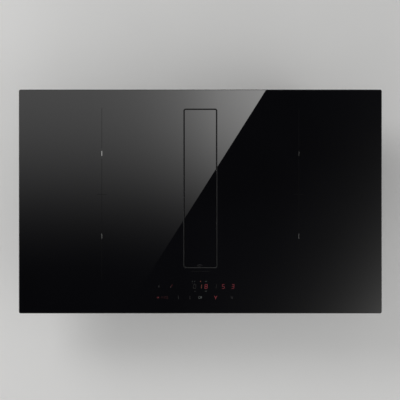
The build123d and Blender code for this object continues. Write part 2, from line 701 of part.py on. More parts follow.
# ---------------------------------------------------------------- intake collar
with BuildPart() as intake_collar:
    with BuildSketch(Plane.XY.offset(sleeve_bottom)):
        with Locations((0, intake_y)):
            RectangleRounded(sleeve_width, sleeve_length, sleeve_radius)
    extrude(amount=glass_bottom - sleeve_bottom)
    with BuildSketch(Plane.XY.offset(glass_bottom - COLLAR_FLANGE_THICKNESS)):
        with Locations((0, intake_y)):
            RectangleRounded(
                opening_width + 2 * COLLAR_FLANGE_WIDTH,
                opening_length + 2 * COLLAR_FLANGE_WIDTH,
                opening_radius + COLLAR_FLANGE_WIDTH / 2,
            )
    extrude(amount=COLLAR_FLANGE_THICKNESS)
    with BuildSketch(Plane.XY.offset(glass_bottom)):
        with Locations((0, intake_y)):
            RectangleRounded(
                collar_width + 2 * LIP_THICKNESS,
                collar_length + 2 * LIP_THICKNESS,
                collar_radius + LIP_THICKNESS,
            )
    extrude(amount=GLASS_THICKNESS - LIP_RECESS)
    # The bore is cut in two lengths, which leave the ledge between them.
    extrude(
        rounded_face(collar_width, collar_length, collar_radius, ledge_top, (0, intake_y)),
        amount=glass_top - ledge_top,
        mode=Mode.SUBTRACT,
    )
    extrude(
        rounded_face(
            collar_width - 2 * LEDGE_WIDTH,
            collar_length - 2 * LEDGE_WIDTH,
            collar_radius,
            sleeve_bottom,
            (0, intake_y),
        ),
        amount=ledge_top - sleeve_bottom,
        mode=Mode.SUBTRACT,
    )
    ledge_bottom = ledge_top - LEDGE_THICKNESS
    extrude(
        rounded_face(collar_width, collar_length, collar_radius, sleeve_bottom, (0, intake_y)),
        amount=ledge_bottom - sleeve_bottom,
        mode=Mode.SUBTRACT,
    )
intake_collar.part.label = "intake_collar"
export_step(intake_collar.part, "parts/intake_collar.step")

with BuildPart() as sleeve_seal:
    extrude(
        ring_face(
            sleeve_width + 2 * (SEAL_WIDTH + RUNNING_FIT),
            sleeve_length + 2 * (SEAL_WIDTH + RUNNING_FIT),
            sleeve_radius + SEAL_WIDTH,
            SEAL_WIDTH,
            tray_floor,
            (0, intake_y),
        ),
        amount=SEAL_THICKNESS,
    )
sleeve_seal.part.label = "sleeve_seal"
export_step(sleeve_seal.part, "parts/sleeve_seal.step")

# ---------------------------------------------------------------- cassette
cassette_width = collar_width - 2 * CASSETTE_GAP
cassette_length = collar_length - 2 * CASSETTE_GAP
cassette_radius = collar_radius - CASSETTE_GAP / 2
carrier_width = FLAP_WIDTH - 2 * CARRIER_SIDE_MARGIN
carrier_length = flap_length - 2 * CARRIER_END_MARGIN
ear_inner = carrier_length / 2 + EAR_GAP
ear_outer = ear_inner + EAR_THICKNESS
boss_radius = PIVOT_BELOW_GLASS - EAR_CLEARANCE
basket_top_width = cassette_width - 2 * CASSETTE_RAIL
basket_top_length = 2 * (ear_inner - BASKET_GAP - BASKET_RIM_OVERLAP)
stop_sine = math.sin(math.radians(FLAP_STOP_ANGLE))
stop_cosine = math.cos(math.radians(FLAP_STOP_ANGLE))
ear_half_base = (pivot_z - cassette_top) * stop_cosine / stop_sine + boss_radius / stop_sine

with BuildPart() as cassette_frame:
    with BuildSketch(Plane.XY.offset(ledge_top)):
        with Locations((0, intake_y)):
            RectangleRounded(cassette_width, cassette_length, cassette_radius)
            Rectangle(basket_top_width, basket_top_length, mode=Mode.SUBTRACT)
    extrude(amount=CASSETTE_THICKNESS)
    # Two ears carry the flap's pins. Their slanted flanks stop the flap at either end of its swing.
    for side in (-1, 1):
        ear_plane = Plane((0, intake_y + side * ear_inner, pivot_z), x_dir=(-side, 0, 0), z_dir=(0, side, 0))
        with BuildSketch(ear_plane) as ear:
            Circle(boss_radius)
            Polygon(
                (-ear_half_base, cassette_top - pivot_z),
                (ear_half_base, cassette_top - pivot_z),
                (boss_radius * stop_sine, boss_radius * stop_cosine),
                (-boss_radius * stop_sine, boss_radius * stop_cosine),
                align=None,
            )
            Circle(PIN_RADIUS + RUNNING_FIT, mode=Mode.SUBTRACT)
        extrude(amount=EAR_THICKNESS)
cassette_frame.part.label = "cassette_frame"
export_step(cassette_frame.part, "parts/cassette_frame.step")

basket_width = basket_top_width - 2 * BASKET_GAP
basket_length = basket_top_length - 2 * BASKET_GAP
basket_radius = collar_radius
basket_bottom = cassette_top - BASKET_DEPTH
slot_count = int((basket_length - 4 * BASKET_SLOT_PITCH) / BASKET_SLOT_PITCH)
slot_z = (cassette_top - CASSETTE_THICKNESS + basket_bottom) / 2

with BuildPart() as filter_basket:
    extrude(
        rounded_face(
            basket_top_width + 2 * BASKET_RIM_OVERLAP,
            basket_top_length + 2 * BASKET_RIM_OVERLAP,
            basket_radius,
            cassette_top,
            (0, intake_y),
        ),
        amount=BASKET_RIM_THICKNESS,
    )
    extrude(
        rounded_face(basket_width, basket_length, basket_radius, cassette_top, (0, intake_y)),
        amount=-BASKET_DEPTH,
        taper=BASKET_DRAFT,
    )
    extrude(
        rounded_face(
            basket_width - 2 * BASKET_SHEET,
            basket_length - 2 * BASKET_SHEET,
            basket_radius - BASKET_SHEET,
            cassette_top,
            (0, intake_y),
        ),
        amount=-(BASKET_DEPTH - BASKET_SHEET),
        taper=BASKET_DRAFT,
        mode=Mode.SUBTRACT,
    )
    extrude(
        rounded_face(
            basket_width - 2 * BASKET_SHEET,
            basket_length - 2 * BASKET_SHEET,
            basket_radius - BASKET_SHEET,
            cassette_top,
            (0, intake_y),
        ),
        amount=BASKET_RIM_THICKNESS,
        mode=Mode.SUBTRACT,
    )
    with BuildSketch(Plane((0, intake_y, slot_z), x_dir=(0, 1, 0), z_dir=(1, 0, 0))):
        with GridLocations(BASKET_SLOT_PITCH, 0, slot_count, 1):
            Rectangle(BASKET_SLOT_WIDTH, BASKET_SLOT_LENGTH)
    extrude(amount=basket_width, both=True, mode=Mode.SUBTRACT)
    with BuildSketch(Plane.XY.offset(basket_bottom)):
        with Locations((0, intake_y)):
            with GridLocations(0, BASKET_SLOT_PITCH, 1, slot_count):
                Rectangle(BASKET_FLOOR_SLOT, BASKET_SLOT_WIDTH)
    extrude(amount=BASKET_SHEET, mode=Mode.SUBTRACT)
filter_basket.part.label = "filter_basket"
export_step(filter_basket.part, "parts/filter_basket.step")

# ---------------------------------------------------------------- flap
with BuildPart() as flap_glass:
    extrude(
        rounded_face(FLAP_WIDTH, flap_length, FLAP_CORNER_RADIUS, glass_bottom, (0, intake_y)),
        amount=GLASS_THICKNESS,
    )
    chamfer(flap_glass.faces().sort_by(Axis.Z)[-1].edges(), OPENING_ARRIS)
flap_glass.part.label = "flap_glass"
export_step(flap_glass.part, "parts/flap_glass.step")

lug_inner = carrier_length / 2 - LUG_THICKNESS
with BuildPart() as flap_carrier:
    with BuildSketch(Plane.XY.offset(glass_bottom)):
        with Locations((0, intake_y)):
            Rectangle(carrier_width, carrier_length)
            with GridLocations(0, carrier_length / 4, 1, 4):
                SlotOverall(carrier_width / 2, carrier_width / 4, mode=Mode.SUBTRACT)
    extrude(amount=-CARRIER_SHEET)
    # Folded edges along both sides, and a round lug at each end for the pivot pin.
    with BuildSketch(Plane.XY.offset(glass_bottom)):
        for side in (-1, 1):
            with Locations((side * (carrier_width - CARRIER_SHEET) / 2, intake_y)):
                Rectangle(CARRIER_SHEET, carrier_length)
    extrude(amount=-CARRIER_FOLD)
    for side in (-1, 1):
        lug_plane = Plane((0, intake_y + side * lug_inner, pivot_z), x_dir=(-side, 0, 0), z_dir=(0, side, 0))
        with BuildSketch(lug_plane):
            Circle(boss_radius)
            with Locations((0, PIVOT_BELOW_GLASS / 2)):
                Rectangle(2 * boss_radius, PIVOT_BELOW_GLASS)
            Circle(PIN_RADIUS + RUNNING_FIT, mode=Mode.SUBTRACT)
        extrude(amount=LUG_THICKNESS)
flap_carrier.part.label = "flap_carrier"
export_step(flap_carrier.part, "parts/flap_carrier.step")

with BuildPart() as pivot_pins:
    for side in (-1, 1):
        pin_plane = Plane((0, intake_y + side * lug_inner, pivot_z), x_dir=(-side, 0, 0), z_dir=(0, side, 0))
        with BuildSketch(pin_plane):
            Circle(PIN_RADIUS)
        extrude(amount=ear_outer - lug_inner)
        with BuildSketch(pin_plane):
            Circle(PIN_HEAD_RADIUS)
        extrude(amount=-PIN_HEAD_THICKNESS)
pivot_pins.part.label = "pivot_pins"
export_step(pivot_pins.part, "parts/pivot_pins.step")

# ---------------------------------------------------------------- induction zones
with BuildPart() as mica_sheets:
    with BuildSketch(Plane.XY.offset(glass_bottom)):
        with Locations(*coil_centres):
            RectangleRounded(COIL_WIDTH, COIL_LENGTH, COIL_CORNER_RADIUS)
            Circle(SENSOR_RADIUS + SENSOR_HOLE_GAP, mode=Mode.SUBTRACT)
    extrude(amount=-MICA_THICKNESS)
mica_sheets.part.label = "mica_sheets"
export_step(mica_sheets.part, "parts/mica_sheets.step")

with BuildPart() as coil_windings:
    with BuildSketch(Plane.XY.offset(winding_top)):
        with Locations(*coil_centres):
            RectangleRounded(COIL_WIDTH, COIL_LENGTH, COIL_CORNER_RADIUS)
            Circle(COIL_EYE_RADIUS, mode=Mode.SUBTRACT)
    extrude(amount=-COIL_THICKNESS)
coil_windings.part.label = "coil_windings"
export_step(coil_windings.part, "parts/coil_windings.step")

with BuildPart() as coil_formers:
    with BuildSketch(Plane.XY.offset(former_top)):
        with Locations(*coil_centres):
            RectangleRounded(COIL_WIDTH, COIL_LENGTH, COIL_CORNER_RADIUS)
            Circle(COIL_EYE_RADIUS, mode=Mode.SUBTRACT)
            with PolarLocations(COIL_LENGTH / 2 - FORMER_WINDOW, 4, start_angle=22.5):
                Rectangle(FORMER_WINDOW, FORMER_WINDOW / 2, mode=Mode.SUBTRACT)
    extrude(amount=-FORMER_THICKNESS)
coil_formers.part.label = "coil_formers"
export_step(coil_formers.part, "parts/coil_formers.step")

with BuildPart() as ferrite_bars:
    with BuildSketch(Plane.XY.offset(ferrite_top)):
        with Locations(*coil_centres):
            with PolarLocations(COIL_EYE_RADIUS + FERRITE_LENGTH / 2 + FERRITE_EYE_GAP, FERRITE_COUNT):
                Rectangle(FERRITE_LENGTH, FERRITE_WIDTH)
    extrude(amount=-FERRITE_THICKNESS)
ferrite_bars.part.label = "ferrite_bars"
export_step(ferrite_bars.part, "parts/ferrite_bars.step")

coil_plate_width = COIL_WIDTH + 2 * COIL_PLATE_MARGIN
coil_plate_length = COIL_LENGTH + ZONE_SPACING + 2 * COIL_PLATE_MARGIN


# One plate for each side carries two coils. Its left and right edges are folded down.
with BuildPart() as coil_plates:
    for side in SIDES.values():
        centre = (side * zone_x, ZONE_MIDDLE_Y)
        with BuildSketch(Plane.XY.offset(coil_plate_top)):
            with Locations(centre):
                RectangleRounded(coil_plate_width, coil_plate_length, COIL_PLATE_MARGIN)
                with GridLocations(0, ZONE_SPACING, 1, 2):
                    Circle(COIL_EYE_RADIUS / 2, mode=Mode.SUBTRACT)
        extrude(amount=-COIL_PLATE_SHEET)
        with BuildSketch(Plane.XY.offset(coil_plate_bottom)):
            with Locations(centre):
                with GridLocations(coil_plate_width - COIL_PLATE_SHEET, 0, 2, 1):
                    Rectangle(COIL_PLATE_SHEET, coil_plate_length - 4 * COIL_PLATE_MARGIN)
        extrude(amount=-COIL_PLATE_FOLD)
coil_plates.part.label = "coil_plates"
export_step(coil_plates.part, "parts/coil_plates.step")

with BuildPart() as plate_posts:
    for side in SIDES.values():
        with Locations((side * zone_x, ZONE_MIDDLE_Y, tray_floor)):
            with GridLocations(POST_SPREAD_X, POST_SPREAD_Y, 2, 2):
                Cylinder(
                    POST_FOOT_RADIUS, POST_FOOT_HEIGHT, align=(Align.CENTER, Align.CENTER, Align.MIN)
                )
                Cylinder(
                    POST_RADIUS, coil_plate_bottom - tray_floor, align=(Align.CENTER, Align.CENTER, Align.MIN)
                )
plate_posts.part.label = "plate_posts"
export_step(plate_posts.part, "parts/plate_posts.step")

with BuildPart() as temperature_sensors:
    with BuildSketch(Plane.XY.offset(coil_plate_top)):
        with Locations(*coil_centres):
            Circle(SENSOR_RADIUS)
    extrude(amount=glass_bottom - coil_plate_top)
    with BuildSketch(Plane.XY.offset(coil_plate_top)):
        with Locations(*coil_centres):
            Circle(COIL_EYE_RADIUS - SENSOR_FOOT_GAP)
    extrude(amount=SENSOR_HOLE_GAP)
temperature_sensors.part.label = "temperature_sensors"
export_step(temperature_sensors.part, "parts/temperature_sensors.step")

# ---------------------------------------------------------------- power electronics
with BuildPart() as power_boards:
    for side in SIDES.values():
        with BuildSketch(Plane.XY.offset(board_bottom)):
            with Locations((side * zone_x, ZONE_MIDDLE_Y)):
                Rectangle(BOARD_WIDTH, BOARD_LENGTH)
                with GridLocations(BOARD_WIDTH - 2 * STANDOFF_INSET, BOARD_LENGTH - 2 * STANDOFF_INSET, 2, 2):
                    Circle(SCREW_RADIUS, mode=Mode.SUBTRACT)
        extrude(amount=BOARD_THICKNESS)
power_boards.part.label = "power_boards"
export_step(power_boards.part, "parts/power_boards.step")

# An extruded aluminium comb stands on each board, in line with its fan.
sink_height = coil_plate_bottom - SINK_AIR_GAP - board_top
fin_spacing = (SINK_WIDTH - SINK_FIN) / (SINK_FIN_COUNT - 1)
with BuildPart() as heat_sinks:
    for side in SIDES.values():
        sink_x = side * (zone_x + (BOARD_WIDTH - SINK_WIDTH) / 2 - SINK_INSET)
        with BuildSketch(Plane((sink_x, ZONE_MIDDLE_Y, board_top), x_dir=(-1, 0, 0), z_dir=(0, 1, 0))):
            with Locations((0, SINK_BASE / 2)):
                Rectangle(SINK_WIDTH, SINK_BASE)
            with Locations((0, sink_height / 2)):
                with GridLocations(fin_spacing, 0, SINK_FIN_COUNT, 1):
                    Rectangle(SINK_FIN, sink_height)
        extrude(amount=SINK_LENGTH / 2, both=True)
heat_sinks.part.label = "heat_sinks"
export_step(heat_sinks.part, "parts/heat_sinks.step")

with BuildPart() as power_components:
    for side in SIDES.values():
        parts_x = side * (zone_x - BOARD_WIDTH / 4)
        with Locations((parts_x, ZONE_MIDDLE_Y, board_top)):
            with GridLocations(0, CAPACITOR_WIDTH + CAPACITOR_GAP, 1, 4):
                Box(
                    CAPACITOR_LENGTH,
                    CAPACITOR_WIDTH,
                    CAPACITOR_HEIGHT,
                    align=(Align.CENTER, Align.CENTER, Align.MIN),
                )
            with GridLocations(0, 2 * CHOKE_RADIUS + CHOKE_GAP, 1, 2):
                Cylinder(CHOKE_RADIUS, CHOKE_HEIGHT, align=(Align.CENTER, Align.CENTER, Align.MIN))
                Cylinder(
                    CHOKE_RADIUS / 2,
                    CHOKE_HEIGHT,
                    align=(Align.CENTER, Align.CENTER, Align.MIN),
                    mode=Mode.SUBTRACT,
                )
power_components.part.label = "power_components"
export_step(power_components.part, "parts/power_components.step")

with BuildPart() as board_standoffs:
    for side in SIDES.values():
        with BuildSketch(Plane.XY.offset(tray_floor)):
            with Locations((side * zone_x, ZONE_MIDDLE_Y)):
                with GridLocations(BOARD_WIDTH - 2 * STANDOFF_INSET, BOARD_LENGTH - 2 * STANDOFF_INSET, 2, 2):
                    Circle(STANDOFF_RADIUS)
        extrude(amount=BOARD_RISE)
board_standoffs.part.label = "board_standoffs"
export_step(board_standoffs.part, "parts/board_standoffs.step")

def fan_housing(side):
    """A square fan frame with a round bore and a motor boss on four struts at the floor."""
    centre = (side * fan_x, fan_y)
    with BuildPart() as housing:
        extrude(rounded_face(FAN_SIZE, FAN_SIZE, FAN_CORNER_RADIUS, tray_floor, centre), amount=FAN_THICKNESS)
        with BuildSketch(Plane.XY.offset(tray_floor)):
            with Locations(centre):
                Circle(FAN_BORE_RADIUS)
        extrude(amount=FAN_THICKNESS, mode=Mode.SUBTRACT)
        with BuildSketch(Plane.XY.offset(tray_floor)):
            with Locations(centre):
                for angle in (45, 135):
                    Rectangle(2 * FAN_BORE_RADIUS + FAN_STRUT, FAN_STRUT, rotation=angle)
        extrude(amount=FAN_STRUT)
        with BuildSketch(Plane.XY.offset(tray_floor)):
            with Locations(centre):
                Circle(FAN_HUB_RADIUS)
        extrude(amount=FAN_BOSS_HEIGHT)
        with BuildSketch(Plane.XY.offset(tray_floor)):
            with Locations(centre):
                Circle(FAN_AXLE_RADIUS + RUNNING_FIT)
        extrude(amount=FAN_BOSS_HEIGHT, mode=Mode.SUBTRACT)
    return housing.part


def fan_rotor(side):
    """The fan's hub with its axle and slanted blades."""
    centre = Vector(side * fan_x, fan_y, 0)
    hub_bottom = tray_floor + FAN_BOSS_HEIGHT + FAN_BLADE_GAP / 3
    hub_top = tray_floor + FAN_THICKNESS - FAN_BLADE_GAP
    blade_middle = (hub_bottom + hub_top) / 2
    blade_chord = (hub_top - hub_bottom - FAN_BLADE_SHEET) / math.cos(math.radians(FAN_BLADE_ANGLE))
    blade_tip = FAN_BORE_RADIUS - 2 * FAN_BLADE_GAP
    with BuildPart() as rotor:
        with BuildSketch(Plane.XY.offset(hub_bottom)):
            with Locations((centre.X, centre.Y)):
                Circle(FAN_HUB_RADIUS)
        extrude(amount=hub_top - hub_bottom)
        with BuildSketch(Plane.XY.offset(tray_floor)):
            with Locations((centre.X, centre.Y)):
                Circle(FAN_AXLE_RADIUS)
        extrude(amount=hub_bottom - tray_floor)
        for blade in range(FAN_BLADE_COUNT):
            turn = 360 * blade / FAN_BLADE_COUNT
            outwards = Vector(1, 0, 0).rotate(Axis.Z, turn)
            slant = Vector(0, 0, 1).rotate(Axis((0, 0, 0), outwards), FAN_BLADE_ANGLE)
            root = centre + outwards * FAN_BLADE_ROOT + Vector(0, 0, blade_middle)
            with BuildSketch(Plane(root, x_dir=slant, z_dir=outwards)):
                Rectangle(blade_chord * FAN_BLADE_TRIM, FAN_BLADE_SHEET)
            extrude(amount=blade_tip - FAN_BLADE_ROOT)
    return rotor.part


left_fan_housing = fan_housing(SIDES["left"])
left_fan_housing.label = "left_fan_housing"
export_step(left_fan_housing, "parts/left_fan_housing.step")

right_fan_housing = fan_housing(SIDES["right"])
right_fan_housing.label = "right_fan_housing"
export_step(right_fan_housing, "parts/right_fan_housing.step")

left_fan_rotor = fan_rotor(SIDES["left"])
left_fan_rotor.label = "left_fan_rotor"
export_step(left_fan_rotor, "parts/left_fan_rotor.step")

right_fan_rotor = fan_rotor(SIDES["right"])
right_fan_rotor.label = "right_fan_rotor"
export_step(right_fan_rotor, "parts/right_fan_rotor.step")

# ---------------------------------------------------------------- touch control
touch_centre = (TOUCH_X, touch_y)
touch_holder_floor = glass_bottom - TOUCH_HOLDER_DROP + TOUCH_HOLDER_WALL
touch_board_top = glass_bottom - TOUCH_SPRING_HEIGHT
touch_board_bottom = touch_board_top - BOARD_THICKNESS
touch_inner_width = TOUCH_HOLDER_WIDTH - 2 * TOUCH_HOLDER_WALL
touch_inner_depth = TOUCH_HOLDER_DEPTH - 2 * TOUCH_HOLDER_WALL
leg_spread_x = TOUCH_HOLDER_WIDTH - 4 * TOUCH_LEG_RADIUS
leg_spread_y = TOUCH_HOLDER_DEPTH - 4 * TOUCH_LEG_RADIUS

with BuildPart() as touch_holder:
    holder_bottom = glass_bottom - TOUCH_HOLDER_DROP
    outside = rounded_face(
        TOUCH_HOLDER_WIDTH, TOUCH_HOLDER_DEPTH, 2 * TOUCH_HOLDER_WALL, holder_bottom, touch_centre
    )
    extrude(outside, amount=TOUCH_HOLDER_DROP)
    inside = rounded_face(
        touch_inner_width, touch_inner_depth, TOUCH_HOLDER_WALL, touch_holder_floor, touch_centre
    )
    extrude(inside, amount=TOUCH_HOLDER_DROP, mode=Mode.SUBTRACT)
    with BuildSketch(Plane.XY.offset(touch_holder_floor)):
        with Locations(touch_centre):
            with GridLocations(leg_spread_x, leg_spread_y, 2, 2):
                Circle(TOUCH_LEG_RADIUS / 2)
    extrude(amount=touch_board_bottom - touch_holder_floor)
    with BuildSketch(Plane.XY.offset(tray_floor)):
        with Locations(touch_centre):
            with GridLocations(leg_spread_x, leg_spread_y, 2, 2):
                Circle(TOUCH_LEG_RADIUS)
    extrude(amount=holder_bottom - tray_floor)
touch_holder.part.label = "touch_holder"
export_step(touch_holder.part, "parts/touch_holder.step")

with BuildPart() as touch_board:
    with BuildSketch(Plane.XY.offset(touch_board_bottom)):
        with Locations(touch_centre):
            RectangleRounded(
                touch_inner_width - 2 * TOUCH_BOARD_GAP,
                touch_inner_depth - 2 * TOUCH_BOARD_GAP,
                TOUCH_HOLDER_WALL,
            )
    extrude(amount=BOARD_THICKNESS)
touch_board.part.label = "touch_board"
export_step(touch_board.part, "parts/touch_board.step")

# One conductive spring stands under each touch key.
key_row_y = touch_y - touch_inner_depth / 2 + TOUCH_SPRING_RADIUS + KEY_WALL_GAP
key_places = [
    (TOUCH_X + KEY_SPACING * (step - (KEY_COUNT - 1) / 2), key_row_y) for step in range(KEY_COUNT)
]
with BuildPart() as touch_springs:
    with BuildSketch(Plane.XY.offset(touch_board_top)):
        with Locations(*key_places):
            Circle(TOUCH_SPRING_RADIUS)
            Circle(TOUCH_SPRING_BORE_RADIUS, mode=Mode.SUBTRACT)
    extrude(amount=TOUCH_SPRING_HEIGHT)
touch_springs.part.label = "touch_springs"
export_step(touch_springs.part, "parts/touch_springs.step")

with BuildPart() as display_modules:
    with BuildSketch(Plane.XY.offset(touch_board_top)):
        for display_x, display_width in DISPLAY_BLOCKS:
            with Locations((display_x, display_y)):
                Rectangle(display_width, DISPLAY_DEPTH)
    extrude(amount=TOUCH_SPRING_HEIGHT - DISPLAY_GLASS_GAP)
display_modules.part.label = "display_modules"
export_step(display_modules.part, "parts/display_modules.step")

# ---------------------------------------------------------------- mains side
terminal_pitch = TERMINAL_WIDTH / TERMINAL_WAYS
with BuildPart() as terminal_block:
    with Locations((TERMINAL_X, terminal_y, tray_floor)):
        Box(
            TERMINAL_WIDTH, TERMINAL_DEPTH, TERMINAL_HEIGHT, align=(Align.CENTER, Align.CENTER, Align.MIN)
        )
    with BuildSketch(Plane.XY.offset(tray_floor + TERMINAL_HEIGHT)):
        with Locations((TERMINAL_X, terminal_y)):
            with GridLocations(terminal_pitch, 0, TERMINAL_WAYS, 1):
                Rectangle(terminal_pitch - 2 * COVER_WALL, TERMINAL_SLOT_DEPTH)
    extrude(amount=-TERMINAL_HEIGHT / 3, mode=Mode.SUBTRACT)
terminal_block.part.label = "terminal_block"
export_step(terminal_block.part, "parts/terminal_block.step")

with BuildPart() as terminal_cover:
    cover_room = 2 * (COVER_GAP + COVER_WALL)
    with Locations((TERMINAL_X, terminal_y, tray_floor)):
        Box(
            TERMINAL_WIDTH + cover_room,
            TERMINAL_DEPTH + cover_room,
            TERMINAL_HEIGHT + cover_room / 2,
            align=(Align.CENTER, Align.CENTER, Align.MIN),
        )
    offset(amount=-COVER_WALL, openings=terminal_cover.faces().sort_by(Axis.Z)[0])
terminal_cover.part.label = "terminal_cover"
export_step(terminal_cover.part, "parts/terminal_cover.step")

with BuildPart() as cable_gland:
    with BuildSketch(Plane.XY.offset(tray_bottom)):
        with Locations((GLAND_X, gland_y)):
            RegularPolygon(GLAND_FLANGE_RADIUS, 6)
    extrude(amount=-GLAND_FLANGE_HEIGHT)
    with BuildSketch(Plane.XY.offset(tray_bottom)):
        with Locations((GLAND_X, gland_y)):
            Circle(GLAND_RADIUS)
    extrude(amount=TRAY_SHEET + GLAND_INNER_LENGTH)
    with BuildSketch(Plane.XY.offset(tray_bottom - GLAND_FLANGE_HEIGHT)):
        with Locations((GLAND_X, gland_y)):
            Circle(GLAND_BORE_RADIUS)
    extrude(amount=GLAND_FLANGE_HEIGHT + TRAY_SHEET + GLAND_INNER_LENGTH, mode=Mode.SUBTRACT)
cable_gland.part.label = "cable_gland"
export_step(cable_gland.part, "parts/cable_gland.step")

with BuildPart() as gland_nut:
    with BuildSketch(Plane.XY.offset(tray_floor)):
        with Locations((GLAND_X, gland_y)):
            RegularPolygon(GLAND_FLANGE_RADIUS, 6)
            Circle(GLAND_RADIUS + RUNNING_FIT, mode=Mode.SUBTRACT)
    extrude(amount=GLAND_NUT_HEIGHT)
gland_nut.part.label = "gland_nut"
export_step(gland_nut.part, "parts/gland_nut.step")

# ---------------------------------------------------------------- air box
tub_rim = lid_bottom
with BuildPart() as air_box_lid:
    extrude(air_box_face(TUB_FLANGE_WIDTH, lid_bottom), amount=LID_THICKNESS)
    with BuildSketch(Plane.XY.offset(lid_bottom)):
        with Locations((0, intake_y)):
            RectangleRounded(
                sleeve_width + 2 * SLEEVE_HOLE_GAP,
                sleeve_length + 2 * SLEEVE_HOLE_GAP,
                sleeve_radius + SLEEVE_HOLE_GAP,
            )
        with Locations(*air_box_screw_points):
            Circle(SCREW_RADIUS + SCREW_HOLE_GAP)
    extrude(amount=LID_THICKNESS, mode=Mode.SUBTRACT)
air_box_lid.part.label = "air_box_lid"
export_step(air_box_lid.part, "parts/air_box_lid.step")

condensate_top = plenum_bottom - CONDENSATE_SEAT_GAP
gusset_places = [
    Plane((tub_left, tub_front + step * (tub_rear - tub_front), tub_rim), x_dir=(-1, 0, 0), z_dir=(0, 1, 0))
    for step in LEFT_GUSSET_STEPS
]
gusset_places += [
    Plane((tub_right, bay_front + step * (tub_rear - bay_front), tub_rim), x_dir=(1, 0, 0), z_dir=(0, -1, 0))
    for step in RIGHT_GUSSET_STEPS
]
gusset_places += [
    Plane((tub_left + step * (tub_right - tub_left), tub_rear, tub_rim), x_dir=(0, 1, 0), z_dir=(1, 0, 0))
    for step in REAR_GUSSET_STEPS
]
gusset_places += [
    Plane((step * tub_left, tub_front, tub_rim), x_dir=(0, -1, 0), z_dir=(-1, 0, 0))
    for step in FRONT_GUSSET_STEPS
]

with BuildPart() as air_box_tub:
    extrude(air_box_face(0, plenum_bottom), amount=tub_rim - plenum_bottom)
    extrude(blower_bay_face(0, tub_bottom), amount=plenum_bottom - tub_bottom)
    fillet(air_box_tub.faces().sort_by(Axis.Z)[0].edges(), TUB_WALL)
    extrude(air_box_face(TUB_FLANGE_WIDTH, tub_rim - TUB_FLANGE_THICKNESS), amount=TUB_FLANGE_THICKNESS)
    for place in gusset_places:
        with BuildSketch(place):
            Polygon((0, 0), (GUSSET_REACH, 0), (0, -GUSSET_DROP), align=None)
        extrude(amount=GUSSET_SHEET / 2, both=True)
    # The drain neck under the plenum carries the condensate tray.
    extrude(
        rounded_face(
            NECK_WIDTH, NECK_LENGTH, NECK_CORNER_RADIUS, plenum_bottom - NECK_HEIGHT, (0, intake_y)
        ),
        amount=NECK_HEIGHT,
    )
    extrude(air_box_face(-TUB_WALL, plenum_floor), amount=tub_rim - plenum_floor, mode=Mode.SUBTRACT)
    extrude(blower_bay_face(-TUB_WALL, tub_floor), amount=plenum_floor - tub_floor, mode=Mode.SUBTRACT)
    extrude(
        rounded_face(
            NECK_WIDTH - 2 * NECK_WALL,
            NECK_LENGTH - 2 * NECK_WALL,
            NECK_CORNER_RADIUS - NECK_WALL,
            plenum_bottom - NECK_HEIGHT,
            (0, intake_y),
        ),
        amount=NECK_HEIGHT + TUB_WALL,
        mode=Mode.SUBTRACT,
    )
    # Outlet window in the rear wall, with its four screw holes.
    outlet_plane = Plane((outlet_x, tub_rear, outlet_z), x_dir=(-1, 0, 0), z_dir=(0, 1, 0))
    outlet_screw_x = OUTLET_WIDTH + OUTLET_FLANGE_SIDE
    with BuildSketch(outlet_plane):
        RectangleRounded(outlet_inner_width, outlet_inner_height, OUTLET_CORNER_RADIUS - OUTLET_WALL)
        with GridLocations(outlet_screw_x, OUTLET_SCREW_SPREAD, 2, 2):
            Circle(SCREW_RADIUS + SCREW_HOLE_GAP)
    extrude(amount=-TUB_WALL, mode=Mode.SUBTRACT)
    with BuildSketch(Plane.XY.offset(tub_rim)):
        with Locations(*air_box_screw_points):
            Circle(SCREW_RADIUS + SCREW_HOLE_GAP)
    extrude(amount=-TUB_FLANGE_THICKNESS, mode=Mode.SUBTRACT)
air_box_tub.part.label = "air_box_tub"
export_step(air_box_tub.part, "parts/air_box_tub.step")

with BuildPart() as air_box_screws:
    with BuildSketch(Plane.XY.offset(tub_rim - TUB_FLANGE_THICKNESS)):
        with Locations(*air_box_screw_points):
            Circle(SCREW_HEAD_RADIUS)
    extrude(amount=-SCREW_HEAD_HEIGHT)
    with BuildSketch(Plane.XY.offset(tub_rim - TUB_FLANGE_THICKNESS)):
        with Locations(*air_box_screw_points):
            Circle(SCREW_RADIUS)
    extrude(amount=TUB_FLANGE_THICKNESS + LID_THICKNESS + TRAY_SHEET)
air_box_screws.part.label = "air_box_screws"
export_step(air_box_screws.part, "parts/air_box_screws.step")

